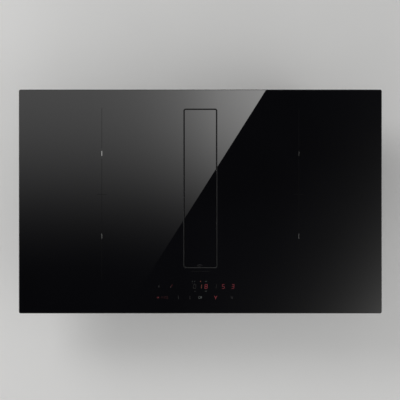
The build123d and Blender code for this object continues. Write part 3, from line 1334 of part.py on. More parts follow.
# ---------------------------------------------------------------- condensate tray
condensate_inner_width = NECK_WIDTH + 2 * CONDENSATE_GAP
condensate_inner_length = NECK_LENGTH + 2 * CONDENSATE_GAP
condensate_radius = NECK_CORNER_RADIUS + CONDENSATE_GAP
with BuildPart() as condensate_tray:
    extrude(
        rounded_face(
            condensate_inner_width + 2 * CONDENSATE_WALL,
            condensate_inner_length + 2 * CONDENSATE_WALL,
            condensate_radius + CONDENSATE_WALL,
            condensate_top - NECK_HEIGHT,
            (0, intake_y),
        ),
        amount=-(condensate_top - NECK_HEIGHT - tub_bottom),
        taper=CONDENSATE_DRAFT,
    )
    fillet(condensate_tray.faces().sort_by(Axis.Z)[0].edges(), CONDENSATE_WALL)
    extrude(
        rounded_face(
            condensate_inner_width + 2 * CONDENSATE_WALL,
            condensate_inner_length + 2 * CONDENSATE_WALL,
            condensate_radius + CONDENSATE_WALL,
            condensate_top - NECK_HEIGHT,
            (0, intake_y),
        ),
        amount=NECK_HEIGHT,
    )
    extrude(
        rounded_face(
            condensate_inner_width + 2 * (CONDENSATE_WALL + CONDENSATE_RIM),
            condensate_inner_length + 2 * (CONDENSATE_WALL + CONDENSATE_RIM),
            condensate_radius + CONDENSATE_WALL + CONDENSATE_RIM,
            condensate_top - CONDENSATE_RIM_THICKNESS,
            (0, intake_y),
        ),
        amount=CONDENSATE_RIM_THICKNESS,
    )
    # A pull tab at the front and at the rear.
    for side in (-1, 1):
        tab_y = intake_y + side * (condensate_inner_length / 2 + CONDENSATE_WALL)
        with BuildSketch(Plane.XY.offset(condensate_top - CONDENSATE_RIM_THICKNESS)):
            with Locations((0, tab_y)):
                RectangleRounded(CONDENSATE_TAB_WIDTH, 2 * CONDENSATE_TAB_REACH, CONDENSATE_RIM)
        extrude(amount=CONDENSATE_RIM_THICKNESS)
    extrude(
        rounded_face(
            condensate_inner_width,
            condensate_inner_length,
            condensate_radius,
            condensate_top - NECK_HEIGHT,
            (0, intake_y),
        ),
        amount=NECK_HEIGHT,
        mode=Mode.SUBTRACT,
    )
    extrude(
        rounded_face(
            condensate_inner_width,
            condensate_inner_length,
            condensate_radius,
            condensate_top - NECK_HEIGHT,
            (0, intake_y),
        ),
        amount=-(condensate_top - NECK_HEIGHT - tub_bottom - CONDENSATE_WALL),
        taper=CONDENSATE_DRAFT,
        mode=Mode.SUBTRACT,
    )
condensate_tray.part.label = "condensate_tray"
export_step(condensate_tray.part, "parts/condensate_tray.step")

# ---------------------------------------------------------------- blower
blower_axis = (BLOWER_X, BLOWER_Y)
boss_reach = SCROLL_WALL + BOSS_SET_OFF * SCROLL_BOSS_RADIUS
scroll_boss_points = [
    volute_centres[quarter] + Vector(volute_radii[quarter] + boss_reach, 0).rotate(Axis.Z, 90 * quarter + 45)
    for quarter in (1, 2, 3)
]
tongue_point = volute_centres[0] + Vector(volute_radii[0], 0).rotate(Axis.Z, tongue_angle)
diffuser_out = (outlet_left_edge - tongue_point).normalized().rotate(Axis.Z, 90)
diffuser_point = tongue_point + (outlet_left_edge - tongue_point) * DIFFUSER_SCREW_STEP
scroll_boss_points.append(diffuser_point + diffuser_out * boss_reach)

with BuildPart() as scroll_base:
    extrude(scroll_face(SCROLL_WALL, tub_floor), amount=scroll_ceiling - tub_floor)
    with BuildSketch(Plane.XY.offset(tub_floor)):
        with Locations(*scroll_boss_points):
            Circle(SCROLL_BOSS_RADIUS)
    extrude(amount=scroll_ceiling - tub_floor)
    extrude(scroll_face(0, scroll_floor), amount=scroll_ceiling - scroll_floor, mode=Mode.SUBTRACT)
    with BuildSketch(Plane.XY.offset(scroll_ceiling)):
        with Locations(*scroll_boss_points):
            Circle(SCREW_RADIUS + SCREW_HOLE_GAP)
    extrude(amount=-4 * SCREW_HEAD_RADIUS, mode=Mode.SUBTRACT)
    with BuildSketch(Plane.XY.offset(scroll_floor)):
        with Locations(blower_axis):
            with PolarLocations(MOTOR_BOLT_RADIUS, 3):
                Circle(SCREW_RADIUS + SCREW_HOLE_GAP)
    extrude(amount=-SCROLL_FLOOR, mode=Mode.SUBTRACT)
scroll_base.part.label = "scroll_base"
export_step(scroll_base.part, "parts/scroll_base.step")

with BuildPart() as scroll_cover:
    with BuildSketch(Plane.XY.offset(scroll_ceiling)):
        add(scroll_face(SCROLL_WALL, 0))
        with Locations(*scroll_boss_points):
            Circle(SCROLL_BOSS_RADIUS)
        with Locations(blower_axis):
            Circle(BELL_THROAT_RADIUS + BELL_RADIUS, mode=Mode.SUBTRACT)
        with Locations(*scroll_boss_points):
            Circle(SCREW_RADIUS + SCREW_HOLE_GAP, mode=Mode.SUBTRACT)
    extrude(amount=SCROLL_FLOOR)
    # The bell-mouth curls down from the cover to the wheel's eye.
    bell_plane = Plane((BLOWER_X, BLOWER_Y, 0), x_dir=(1, 0, 0), z_dir=(0, -1, 0))
    bell_centre = (BELL_THROAT_RADIUS + BELL_RADIUS, scroll_cover_top - BELL_RADIUS)
    with BuildSketch(bell_plane):
        with BuildLine():
            bell_inside = CenterArc(bell_centre, BELL_RADIUS, 90, 90)
            bell_outside = CenterArc(bell_centre, BELL_RADIUS - SCROLL_FLOOR, 90, 90)
            Line(bell_inside @ 0, bell_outside @ 0)
            Line(bell_inside @ 1, bell_outside @ 1)
        make_face()
    revolve(axis=Axis((BLOWER_X, BLOWER_Y, 0), (0, 0, 1)))
scroll_cover.part.label = "scroll_cover"
export_step(scroll_cover.part, "parts/scroll_cover.step")

with BuildPart() as scroll_screws:
    with BuildSketch(Plane.XY.offset(scroll_cover_top)):
        with Locations(*scroll_boss_points):
            Circle(SCREW_HEAD_RADIUS)
    extrude(amount=SCREW_HEAD_HEIGHT)
    with BuildSketch(Plane.XY.offset(scroll_cover_top)):
        with Locations(*scroll_boss_points):
            Circle(SCREW_RADIUS)
    extrude(amount=-(SCROLL_FLOOR + 3 * SCREW_HEAD_RADIUS))
scroll_screws.part.label = "scroll_screws"
export_step(scroll_screws.part, "parts/scroll_screws.step")

with BuildPart() as rubber_mounts:
    with BuildSketch(Plane.XY.offset(scroll_floor)):
        with Locations(blower_axis):
            with PolarLocations(MOTOR_BOLT_RADIUS, 3):
                Circle(RUBBER_RADIUS)
                Circle(SCREW_RADIUS + SCREW_HOLE_GAP, mode=Mode.SUBTRACT)
    extrude(amount=RUBBER_HEIGHT)
rubber_mounts.part.label = "rubber_mounts"
export_step(rubber_mounts.part, "parts/rubber_mounts.step")

with BuildPart() as blower_motor:
    with BuildSketch(Plane.XY.offset(motor_flange_bottom)):
        with Locations(blower_axis):
            Circle(MOTOR_FLANGE_RADIUS)
            with PolarLocations(MOTOR_BOLT_RADIUS, 3):
                Circle(SCREW_RADIUS + SCREW_HOLE_GAP, mode=Mode.SUBTRACT)
    extrude(amount=MOTOR_FLANGE_THICKNESS)
    with BuildSketch(Plane.XY.offset(motor_flange_top)):
        with Locations(blower_axis):
            Circle(MOTOR_RADIUS)
    extrude(amount=MOTOR_HEIGHT)
    fillet(blower_motor.faces().sort_by(Axis.Z)[-1].edges(), MOTOR_ROUND)
    with BuildSketch(Plane.XY.offset(motor_top)):
        with Locations(blower_axis):
            Circle(SHAFT_RADIUS + RUNNING_FIT)
    extrude(amount=-SHAFT_IN_MOTOR, mode=Mode.SUBTRACT)
blower_motor.part.label = "blower_motor"
export_step(blower_motor.part, "parts/blower_motor.step")

with BuildPart() as motor_screws:
    with BuildSketch(Plane.XY.offset(motor_flange_top)):
        with Locations(blower_axis):
            with PolarLocations(MOTOR_BOLT_RADIUS, 3):
                Circle(SCREW_HEAD_RADIUS)
    extrude(amount=SCREW_HEAD_HEIGHT)
    with BuildSketch(Plane.XY.offset(motor_flange_top)):
        with Locations(blower_axis):
            with PolarLocations(MOTOR_BOLT_RADIUS, 3):
                Circle(SCREW_RADIUS)
    extrude(amount=-(motor_flange_top - tub_floor))
motor_screws.part.label = "motor_screws"
export_step(motor_screws.part, "parts/motor_screws.step")

dome_top = motor_top + DOME_GAP + WHEEL_SHEET
hub_top = dome_top + HUB_LENGTH
with BuildPart() as motor_shaft:
    with BuildSketch(Plane.XY.offset(motor_top - SHAFT_IN_MOTOR + RUNNING_FIT)):
        with Locations(blower_axis):
            Circle(SHAFT_RADIUS)
    extrude(amount=hub_top + NUT_HEIGHT - (motor_top - SHAFT_IN_MOTOR + RUNNING_FIT))
motor_shaft.part.label = "motor_shaft"
export_step(motor_shaft.part, "parts/motor_shaft.step")

# One forward-curved blade, drawn as the strip between two arcs, is copied round the wheel.
with BuildSketch() as blade:
    with BuildLine():
        inner_end = (WHEEL_INNER_RADIUS, 0)
        outer_end = (WHEEL_RADIUS - BLADE_SHEET, BLADE_SWEEP)
        front = RadiusArc(inner_end, outer_end, -BLADE_CURVE_RADIUS)
        inner_back = (WHEEL_INNER_RADIUS, BLADE_SHEET)
        outer_back = (WHEEL_RADIUS - BLADE_SHEET, BLADE_SWEEP + BLADE_SHEET)
        back = RadiusArc(inner_back, outer_back, -BLADE_CURVE_RADIUS)
        Line(inner_end, inner_back)
        Line(outer_end, outer_back)
    make_face()

with BuildPart() as blower_wheel:
    wheel_plane = Plane((BLOWER_X, BLOWER_Y, 0), x_dir=(1, 0, 0), z_dir=(0, -1, 0))
    dome_radius = MOTOR_RADIUS + DOME_GAP
    # Back plate, dome over the motor and hub, all turned from one profile.
    with BuildSketch(wheel_plane):
        with BuildLine():
            Polyline(
                (dome_radius, wheel_bottom),
                (WHEEL_RADIUS, wheel_bottom),
                (WHEEL_RADIUS, wheel_bottom + WHEEL_SHEET),
                (dome_radius + WHEEL_SHEET, wheel_bottom + WHEEL_SHEET),
                (dome_radius, dome_top),
                (HUB_RADIUS, dome_top),
                (HUB_RADIUS, hub_top),
                (SHAFT_RADIUS + RUNNING_FIT / 2, hub_top),
                (SHAFT_RADIUS + RUNNING_FIT / 2, dome_top - WHEEL_SHEET),
                (dome_radius - WHEEL_SHEET, dome_top - WHEEL_SHEET),
                (dome_radius, wheel_bottom),
            )
        make_face()
    revolve(axis=Axis((BLOWER_X, BLOWER_Y, 0), (0, 0, 1)))
blower_wheel.part.label = "blower_wheel"
export_step(blower_wheel.part, "parts/blower_wheel.step")

with BuildPart() as wheel_blades:
    with BuildSketch(Plane.XY.offset(wheel_bottom + WHEEL_SHEET)):
        with Locations(blower_axis):
            with PolarLocations(0, BLADE_COUNT):
                add(blade.sketch)
    extrude(amount=WHEEL_HEIGHT - 2 * WHEEL_SHEET)
wheel_blades.part.label = "wheel_blades"
export_step(wheel_blades.part, "parts/wheel_blades.step")

with BuildPart() as wheel_ring:
    with BuildSketch(Plane.XY.offset(wheel_top - WHEEL_SHEET)):
        with Locations(blower_axis):
            Circle(WHEEL_RADIUS)
            Circle(WHEEL_INNER_RADIUS, mode=Mode.SUBTRACT)
    extrude(amount=WHEEL_SHEET)
wheel_ring.part.label = "wheel_ring"
export_step(wheel_ring.part, "parts/wheel_ring.step")

with BuildPart() as wheel_nut:
    with BuildSketch(Plane.XY.offset(hub_top)):
        with Locations(blower_axis):
            RegularPolygon(NUT_RADIUS, 6)
            Circle(SHAFT_RADIUS + RUNNING_FIT / 2, mode=Mode.SUBTRACT)
    extrude(amount=NUT_HEIGHT)
wheel_nut.part.label = "wheel_nut"
export_step(wheel_nut.part, "parts/wheel_nut.step")

# ---------------------------------------------------------------- outlet
with BuildPart() as outlet_spigot:
    with BuildSketch(outlet_plane):
        RectangleRounded(
            OUTLET_WIDTH + 2 * OUTLET_FLANGE_SIDE, OUTLET_HEIGHT + 2 * OUTLET_FLANGE_TOP, OUTLET_FLANGE_TOP
        )
    extrude(amount=OUTLET_FLANGE_THICKNESS)
    with BuildSketch(outlet_plane):
        RectangleRounded(OUTLET_WIDTH, OUTLET_HEIGHT, OUTLET_CORNER_RADIUS)
    extrude(amount=OUTLET_FLANGE_THICKNESS + OUTLET_LENGTH)
    with BuildSketch(outlet_plane):
        RectangleRounded(outlet_inner_width, outlet_inner_height, OUTLET_CORNER_RADIUS - OUTLET_WALL)
        with GridLocations(outlet_screw_x, OUTLET_SCREW_SPREAD, 2, 2):
            Circle(SCREW_RADIUS + SCREW_HOLE_GAP)
    extrude(amount=OUTLET_FLANGE_THICKNESS + OUTLET_LENGTH, mode=Mode.SUBTRACT)
outlet_spigot.part.label = "outlet_spigot"
export_step(outlet_spigot.part, "parts/outlet_spigot.step")

with BuildPart() as spigot_screws:
    with BuildSketch(outlet_plane.offset(OUTLET_FLANGE_THICKNESS)):
        with GridLocations(outlet_screw_x, OUTLET_SCREW_SPREAD, 2, 2):
            Circle(SCREW_HEAD_RADIUS)
    extrude(amount=SCREW_HEAD_HEIGHT)
    with BuildSketch(outlet_plane.offset(OUTLET_FLANGE_THICKNESS)):
        with GridLocations(outlet_screw_x, OUTLET_SCREW_SPREAD, 2, 2):
            Circle(SCREW_RADIUS)
    extrude(amount=-(OUTLET_FLANGE_THICKNESS + TUB_WALL))
spigot_screws.part.label = "spigot_screws"
export_step(spigot_screws.part, "parts/spigot_screws.step")

# ---------------------------------------------------------------- control box
control_centre = (control_x, control_y)
control_bottom = tray_bottom - CONTROL_HEIGHT
control_inner_width = CONTROL_WIDTH - 2 * CONTROL_WALL
control_inner_depth = CONTROL_DEPTH - 2 * CONTROL_WALL
with BuildPart() as control_box:
    extrude(
        rounded_face(CONTROL_WIDTH, CONTROL_DEPTH, 2 * CONTROL_WALL, control_bottom, control_centre),
        amount=CONTROL_HEIGHT,
    )
    extrude(
        rounded_face(control_inner_width, control_inner_depth, CONTROL_WALL, control_bottom, control_centre),
        amount=CONTROL_HEIGHT - CONTROL_WALL,
        mode=Mode.SUBTRACT,
    )
    with BuildSketch(Plane.XY.offset(control_bottom)):
        with Locations(*control_screw_points):
            Circle(CONTROL_BOSS_RADIUS)
            Circle(SCREW_RADIUS + SCREW_HOLE_GAP, mode=Mode.SUBTRACT)
    extrude(amount=CONTROL_HEIGHT)
    with BuildSketch(Plane.XY.offset(tray_bottom)):
        with Locations(*control_screw_points):
            Circle(SCREW_RADIUS + SCREW_HOLE_GAP)
    extrude(amount=-CONTROL_WALL, mode=Mode.SUBTRACT)
control_box.part.label = "control_box"
export_step(control_box.part, "parts/control_box.step")

with BuildPart() as control_box_cover:
    with BuildSketch(Plane.XY.offset(control_bottom)):
        with Locations(control_centre):
            RectangleRounded(CONTROL_WIDTH, CONTROL_DEPTH, 2 * CONTROL_WALL)
        with Locations(*control_screw_points):
            Circle(SCREW_RADIUS + SCREW_HOLE_GAP, mode=Mode.SUBTRACT)
    extrude(amount=-CONTROL_COVER_THICKNESS)
control_box_cover.part.label = "control_box_cover"
export_step(control_box_cover.part, "parts/control_box_cover.step")

with BuildPart() as control_box_screws:
    with BuildSketch(Plane.XY.offset(control_bottom - CONTROL_COVER_THICKNESS)):
        with Locations(*control_screw_points):
            Circle(SCREW_HEAD_RADIUS)
    extrude(amount=-SCREW_HEAD_HEIGHT)
    with BuildSketch(Plane.XY.offset(control_bottom - CONTROL_COVER_THICKNESS)):
        with Locations(*control_screw_points):
            Circle(SCREW_RADIUS)
    extrude(amount=CONTROL_COVER_THICKNESS + CONTROL_HEIGHT + TRAY_SHEET)
control_box_screws.part.label = "control_box_screws"
export_step(control_box_screws.part, "parts/control_box_screws.step")

with BuildPart() as control_board:
    with BuildSketch(Plane.XY.offset(control_bottom + CONTROL_HEIGHT / 3)):
        with Locations(control_centre):
            board_side = CONTROL_WIDTH - 2 * (2 * CONTROL_WALL + 2 * CONTROL_BOSS_RADIUS)
            Rectangle(board_side, control_inner_depth)
    extrude(amount=BOARD_THICKNESS)
control_board.part.label = "control_board"
export_step(control_board.part, "parts/control_board.step")
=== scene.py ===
import json
import math

import bmesh
import bpy
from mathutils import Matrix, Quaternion, Vector


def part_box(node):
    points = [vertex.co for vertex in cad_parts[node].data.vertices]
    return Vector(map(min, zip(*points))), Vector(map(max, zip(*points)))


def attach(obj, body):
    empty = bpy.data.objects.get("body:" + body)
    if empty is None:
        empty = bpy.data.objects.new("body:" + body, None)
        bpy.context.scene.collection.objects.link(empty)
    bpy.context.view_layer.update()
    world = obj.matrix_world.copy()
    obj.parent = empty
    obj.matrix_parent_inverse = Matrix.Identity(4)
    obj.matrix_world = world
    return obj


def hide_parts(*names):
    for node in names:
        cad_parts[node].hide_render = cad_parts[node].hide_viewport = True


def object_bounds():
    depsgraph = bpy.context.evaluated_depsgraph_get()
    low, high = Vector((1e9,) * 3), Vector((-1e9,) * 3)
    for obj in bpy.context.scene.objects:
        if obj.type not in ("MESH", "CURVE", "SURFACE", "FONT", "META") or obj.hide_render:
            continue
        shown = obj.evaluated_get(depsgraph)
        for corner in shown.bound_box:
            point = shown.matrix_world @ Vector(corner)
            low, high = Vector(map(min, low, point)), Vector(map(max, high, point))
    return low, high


bl_info = {
    "name": "Downdraft Induction Cooktop",
    "version": (1, 0, 0),
    "blender": (4, 5, 0),
    "location": "3D View > Sidebar > Cooktop",
    "description": "Dresses the cooktop's frame with its marks, fasteners, ribs, mesh and finishes",
    "category": "Object",
}

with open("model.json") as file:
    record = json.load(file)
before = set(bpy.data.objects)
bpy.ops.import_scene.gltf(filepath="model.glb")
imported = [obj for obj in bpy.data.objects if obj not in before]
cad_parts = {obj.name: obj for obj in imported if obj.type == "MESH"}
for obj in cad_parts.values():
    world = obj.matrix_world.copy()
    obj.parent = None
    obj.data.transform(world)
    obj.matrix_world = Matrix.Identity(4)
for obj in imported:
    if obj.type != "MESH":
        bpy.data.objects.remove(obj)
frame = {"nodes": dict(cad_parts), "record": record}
cad_low, cad_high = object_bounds()
glass_low, glass_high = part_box("glass_plate")
GLASS_TOP = glass_high.z
FLAP_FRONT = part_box("flap_glass")[0].y
TRAY_FLOOR = -0.050
PLENUM_FLOOR = -0.165
MM = 0.001
SMOOTH_ANGLE = math.radians(35)
SHARP_ANGLE = math.radians(40)
SENSOR_WIDTH = 36.0
finishes = {}


# ---------------------------------------------------------------- settings
def length_setting(name, description, default, least=0.0):
    return bpy.props.FloatProperty(
        name=name, description=description, default=default, min=least, unit="LENGTH", precision=6
    )


def number_setting(name, description, default, unit="NONE", least=0.0):
    return bpy.props.FloatProperty(name=name, description=description, default=default, min=least, unit=unit)


def colour_setting(name, description, default):
    return bpy.props.FloatVectorProperty(name=name, description=description, default=default, subtype="COLOR")


class MarkSettings(bpy.types.PropertyGroup):
    """Sizes and colours of the print on the glass."""

    print_thickness: length_setting(
        "Print thickness", "How far the print stands on the glass", 0.00003, least=0.00001
    )
    line_width: length_setting("Line width", "Width of the long zone lines", 0.0006)
    tick_length: length_setting("Tick length", "Length of the pale tick in the middle of a zone", 0.0115)
    tick_width: length_setting("Tick width", "Width of the pale tick", 0.0013)
    tick_colour: colour_setting("Tick colour", "Silver of the ticks", (0.45, 0.45, 0.44))
    line_colour: colour_setting("Line colour", "Black of the long lines", (0.004, 0.004, 0.004))


class ControlSettings(bpy.types.PropertyGroup):
    """Sizes and colours of the lit control field."""

    digit_height: length_setting("Digit height", "Height of a seven-segment digit", 0.0102)
    digit_width: length_setting("Digit width", "Width of a seven-segment digit", 0.0062)
    segment_width: length_setting("Segment width", "Width of one segment", 0.0010)
    slant: bpy.props.FloatProperty(
        name="Slant", description="Lean of the digits", default=math.radians(6), subtype="ANGLE",
    )
    lit_colour: colour_setting("Lit colour", "Colour of a lit segment", (0.80, 0.12, 0.155))
    lit_strength: number_setting("Lit strength", "Glow of a lit segment", 0.205)


class FinishSettings(bpy.types.PropertyGroup):
    """Colours of the materials."""

    glass_colour: colour_setting("Glass", "Body colour of the black glass", (0.0022, 0.0022, 0.0028))
    zinc_colour: colour_setting("Zinc", "Colour of the galvanised sheet", (0.56, 0.58, 0.59))
    steel_colour: colour_setting("Stainless", "Colour of the stainless sheet", (0.60, 0.59, 0.57))
    moulding_colour: colour_setting("Black moulding", "Colour of the black mouldings", (0.028, 0.029, 0.031))
    grey_colour: colour_setting("Grey moulding", "Colour of the grey mouldings", (0.23, 0.24, 0.25))


class StageSettings(bpy.types.PropertyGroup):
    """Camera, floor and lights."""

    lens: number_setting("Lens", "Focal length in millimetres", 100.0, "CAMERA", least=20.0)
    frame_width: length_setting("Frame width", "Width that the picture shows at the glass", 0.9146)
    aim: bpy.props.FloatVectorProperty(
        name="Aim", description="Point of the glass in the middle of the picture", default=(-0.0008, 0.0034),
        size=2, subtype="XYZ",
    )
    floor_colour: colour_setting("Floor", "Colour of the floor", (0.66, 0.655, 0.645))
    box_height: length_setting("Softbox height", "Height of the softbox above the glass", 2.9)
    box_strength: number_setting("Softbox strength", "Brightness of the softbox at its bright end", 5.9)
    glow_strength: number_setting("Glow strength", "Brightness of the dark card at its corner", 1.05)
    glow_halving: length_setting("Glow halving", "Way over the glass in which the glow halves", 0.059, least=0.001)
    key_power: number_setting("Key light", "Power of the key light in watts", 34.0, "POWER")
    fill_power: number_setting("Fill light", "Power of each fill light in watts", 12.0, "POWER")
    world_strength: number_setting("World", "Brightness of the surroundings where they light", 0.55)


# ---------------------------------------------------------------- modelling steps
def deselect():
    bpy.ops.object.select_all(action="DESELECT")


def activate(piece):
    """Makes one object the only selected and active one."""
    deselect()
    piece.select_set(True)
    bpy.context.view_layer.objects.active = piece


def bake_place():
    bpy.ops.object.transform_apply(location=True, rotation=True, scale=True)


def named(name):
    """Names the primitive that was just added and bakes its place into its mesh."""
    piece = bpy.context.active_object
    piece.name = name
    piece.data.name = name
    bake_place()
    return piece


def box(name, low, high):
    """A box between two corners."""
    deselect()
    middle = [(a + b) / 2 for a, b in zip(low, high)]
    size = [b - a for a, b in zip(low, high)]
    bpy.ops.mesh.primitive_cube_add(size=1, location=middle, scale=size)
    return named(name)


def drum(name, radius, height, centre, sides):
    """An upright cylinder about centre."""
    deselect()
    bpy.ops.mesh.primitive_cylinder_add(vertices=sides, radius=radius, depth=height, location=centre)
    return named(name)


def sheet(name, centre, width, length, height):
    """A lying rectangle about centre."""
    deselect()
    bpy.ops.mesh.primitive_plane_add(size=1, location=(*centre, height))
    bpy.context.active_object.scale = (width, length, 1)
    return named(name)


def disc(name, sides, radius, centre=(0, 0), height=0.0, stretch=(1, 1)):
    """A lying disc or polygon about centre."""
    deselect()
    bpy.ops.mesh.primitive_circle_add(vertices=sides, radius=radius, fill_type="NGON", location=(*centre, height))
    bpy.context.active_object.scale = (*stretch, 1)
    return named(name)


def settle(piece, place=(0, 0, 0), turn=(0, 0, 0)):
    """Turns a piece about the origin, moves it, and bakes both into its mesh."""
    activate(piece)
    piece.rotation_euler = turn
    piece.location = place
    bake_place()
    return piece


def pick(piece, kind, test=lambda item: True):
    """Enters edit mode with only what passes the test selected."""
    activate(piece)
    bpy.ops.object.mode_set(mode="EDIT")
    bpy.ops.mesh.select_mode(type=kind)
    bpy.ops.mesh.select_all(action="DESELECT")
    shape = bmesh.from_edit_mesh(piece.data)
    for item in {"VERT": shape.verts, "EDGE": shape.edges, "FACE": shape.faces}[kind]:
        if test(item):
            item.select_set(True)
    shape.select_flush_mode()
    bmesh.update_edit_mesh(piece.data)


def leave_edit():
    bpy.ops.object.mode_set(mode="OBJECT")


def bevel_edges(piece, width, segments, test):
    """Rounds the edges that pass the test."""
    pick(piece, "EDGE", test)
    bpy.ops.mesh.bevel(offset=width, segments=segments, affect="EDGES")
    leave_edit()


def bevel_corners(piece, width, segments):
    """Rounds the corners of a flat piece."""
    pick(piece, "VERT")
    bpy.ops.mesh.bevel(offset=width, segments=segments, affect="VERTICES")
    leave_edit()


def open_middle(piece, width):
    """Leaves only a rim of the given width of a flat piece."""
    pick(piece, "FACE")
    bpy.ops.mesh.inset(thickness=width)
    bpy.ops.mesh.delete(type="FACE")
    leave_edit()
    return piece


def thicken(piece, height):
    """Draws a flat piece upwards into a closed one."""
    pick(piece, "FACE")
    bpy.ops.mesh.extrude_region_move(TRANSFORM_OT_translate={"value": (0, 0, height)})
    bpy.ops.mesh.select_all(action="SELECT")
    bpy.ops.mesh.normals_make_consistent(inside=False)
    leave_edit()
    return piece


def modify(piece, kind, **values):
    """Adds a modifier with the given values and applies it."""
    activate(piece)
    modifier = piece.modifiers.new(kind.title(), kind)
    for key, value in values.items():
        setattr(modifier, key, value)
    bpy.ops.object.modifier_apply(modifier=modifier.name)


def soften(piece, width, segments=2):
    """Rounds the sharp edges."""
    modify(piece, "BEVEL", width=width, segments=segments, limit_method="ANGLE", angle_limit=SHARP_ANGLE)
    return piece


def cut(piece, cutter):
    """Takes the cutter's shape out of the piece."""
    modify(piece, "BOOLEAN", object=cutter, operation="DIFFERENCE", solver="EXACT")


def repeat(piece, count, step):
    """Repeats a piece in a row."""
    modify(
        piece, "ARRAY", count=count, use_relative_offset=False, use_constant_offset=True,
        constant_offset_displace=step,
    )


def copy_to(template, place=(0, 0, 0), direction=(0, 0, 1), turn=0.0):
    """A copy of template, with its own mesh, whose +Z points along direction."""
    activate(template)
    bpy.ops.object.duplicate(linked=False)
    piece = bpy.context.active_object
    piece.rotation_mode = "QUATERNION"
    upright = Vector((0, 0, 1)).rotation_difference(Vector(direction))
    piece.rotation_quaternion = upright @ Quaternion((0, 0, 1), turn)
    piece.location = place
    bake_place()
    return piece


def joined(name, pieces):
    """Joins pieces into one object."""
    deselect()
    for piece in pieces:
        piece.select_set(True)
    bpy.context.view_layer.objects.active = pieces[0]
    if len(pieces) > 1:
        bpy.ops.object.join()
    pieces[0].name = name
    pieces[0].data.name = name
    return pieces[0]


def discard(*pieces):
    deselect()
    for piece in pieces:
        piece.select_set(True)
    bpy.ops.object.delete()


def finish_piece(piece, finish, body, smooth=True):
    """Gives the piece its finish and its body."""
    activate(piece)
    bake_place()
    if smooth:
        bpy.ops.object.shade_smooth_by_angle(angle=SMOOTH_ANGLE)
    piece.data.materials.clear()
    piece.data.materials.append(finishes[finish])
    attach(piece, body)
    return piece


def print_levels(context):
    """Underside and top of the print. It is sunk into the glass by half as much as it stands on it."""
    thickness = context.scene.cooktop_marks.print_thickness
    return GLASS_TOP - 0.5 * thickness, GLASS_TOP + thickness


def solid_boxes(name):
    """The lowest and highest corner of each separate solid of a CAD node."""
    mesh = frame["nodes"][name].data
    places = {}
    leader = []

    def find(index):
        while leader[index] != index:
            leader[index] = leader[leader[index]]
            index = leader[index]
        return index

    merged = []
    for vertex in mesh.vertices:
        key = tuple(round(value * 1e6) for value in vertex.co)
        if key not in places:
            places[key] = len(leader)
            leader.append(len(leader))
        merged.append(places[key])
    for face in mesh.polygons:
        first = find(merged[face.vertices[0]])
        for vertex in face.vertices[1:]:
            leader[find(merged[vertex])] = first
    boxes = {}
    for key, index in places.items():
        point = Vector(key) / 1e6
        group = boxes.setdefault(find(index), [point.copy(), point.copy()])
        for axis in range(3):
            group[0][axis] = min(group[0][axis], point[axis])
            group[1][axis] = max(group[1][axis], point[axis])
    return sorted(boxes.values(), key=lambda pair: tuple(pair[0]))


# ---------------------------------------------------------------- material steps
def add_node(tree, kind, inputs=None, **settings):
    """Adds a node. Each input is a value or another node's output."""
    node = tree.nodes.new("ShaderNode" + kind)
    for key, value in settings.items():
        setattr(node, key, value)
    for key, value in (inputs or {}).items():
        if isinstance(value, bpy.types.NodeSocket):
            tree.links.new(value, node.inputs[key])
        else:
            node.inputs[key].default_value = value
    return node


def add_math(tree, operation, first, second):
    return add_node(tree, "Math", {0: first, 1: second}, operation=operation).outputs["Value"]


def add_ramp(tree, factor, stops, interpolation="LINEAR"):
    """A ramp over factor. A stop is (position, colour)."""
    node = add_node(tree, "ValToRGB", {"Fac": factor})
    ramp = node.color_ramp
    ramp.interpolation = interpolation
    for index, (position, colour) in enumerate(stops):
        stop = ramp.elements[index] if index < 2 else ramp.elements.new(position)
        stop.position = position
        stop.color = (*colour, 1)
    return node.outputs["Color"]


class Finish:
    """A node material in the making, on the piece's own Object coordinates."""

    def __init__(self, name, **values):
        self.material = bpy.data.materials.new(name)
        self.material.use_nodes = True
        self.tree = self.material.node_tree
        self.shader = self.tree.nodes["Principled BSDF"]
        for key, value in values.items():
            self.shader.inputs[key.replace("_", " ").title().replace("Ior", "IOR")].default_value = value
        finishes[name] = self.material

    def connect(self, output, name):
        self.tree.links.new(output, self.shader.inputs[name])

    def points(self, stretch=(1, 1, 1)):
        place = add_node(self.tree, "TexCoord")
        inputs = {"Vector": place.outputs["Object"], "Scale": stretch}
        return add_node(self.tree, "Mapping", inputs).outputs["Vector"]

    def noise(self, scale, detail=3.0, rough=0.55, stretch=(1, 1, 1)):
        inputs = {"Vector": self.points(stretch), "Scale": scale, "Detail": detail, "Roughness": rough}
        return add_node(self.tree, "TexNoise", inputs).outputs["Fac"]

    def cells(self, scale, output="Color", feature="F1", randomness=1.0):
        inputs = {"Vector": self.points(), "Scale": scale, "Randomness": randomness}
        return add_node(self.tree, "TexVoronoi", inputs, feature=feature).outputs[output]

    def bands(self, scale, direction):
        inputs = {"Vector": self.points(), "Scale": scale}
        return add_node(self.tree, "TexWave", inputs, bands_direction=direction).outputs["Fac"]

    def grey(self, colour):
        return add_node(self.tree, "SeparateColor", {"Color": colour}).outputs["Red"]

    def spread(self, factor, low, high, start=0.3, end=0.7):
        inputs = {"Value": factor, "From Min": start, "From Max": end, "To Min": low, "To Max": high}
        return add_node(self.tree, "MapRange", inputs).outputs["Result"]

    def times(self, first, second):
        return add_math(self.tree, "MULTIPLY", first, second)

    def paint(self, factor, *stops):
        """Colours the piece by a ramp over factor."""
        self.connect(add_ramp(self.tree, factor, stops), "Base Color")

    def roughen(self, factor, low, high, start=0.3, end=0.7):
        self.connect(self.spread(factor, low, high, start, end), "Roughness")

    def bump(self, height, distance, strength):
        inputs = {"Height": height, "Distance": distance, "Strength": strength}
        self.connect(add_node(self.tree, "Bump", inputs).outputs["Normal"], "Normal")


def shade(colour, factor):
    return tuple(min(1.0, value * factor) for value in colour)


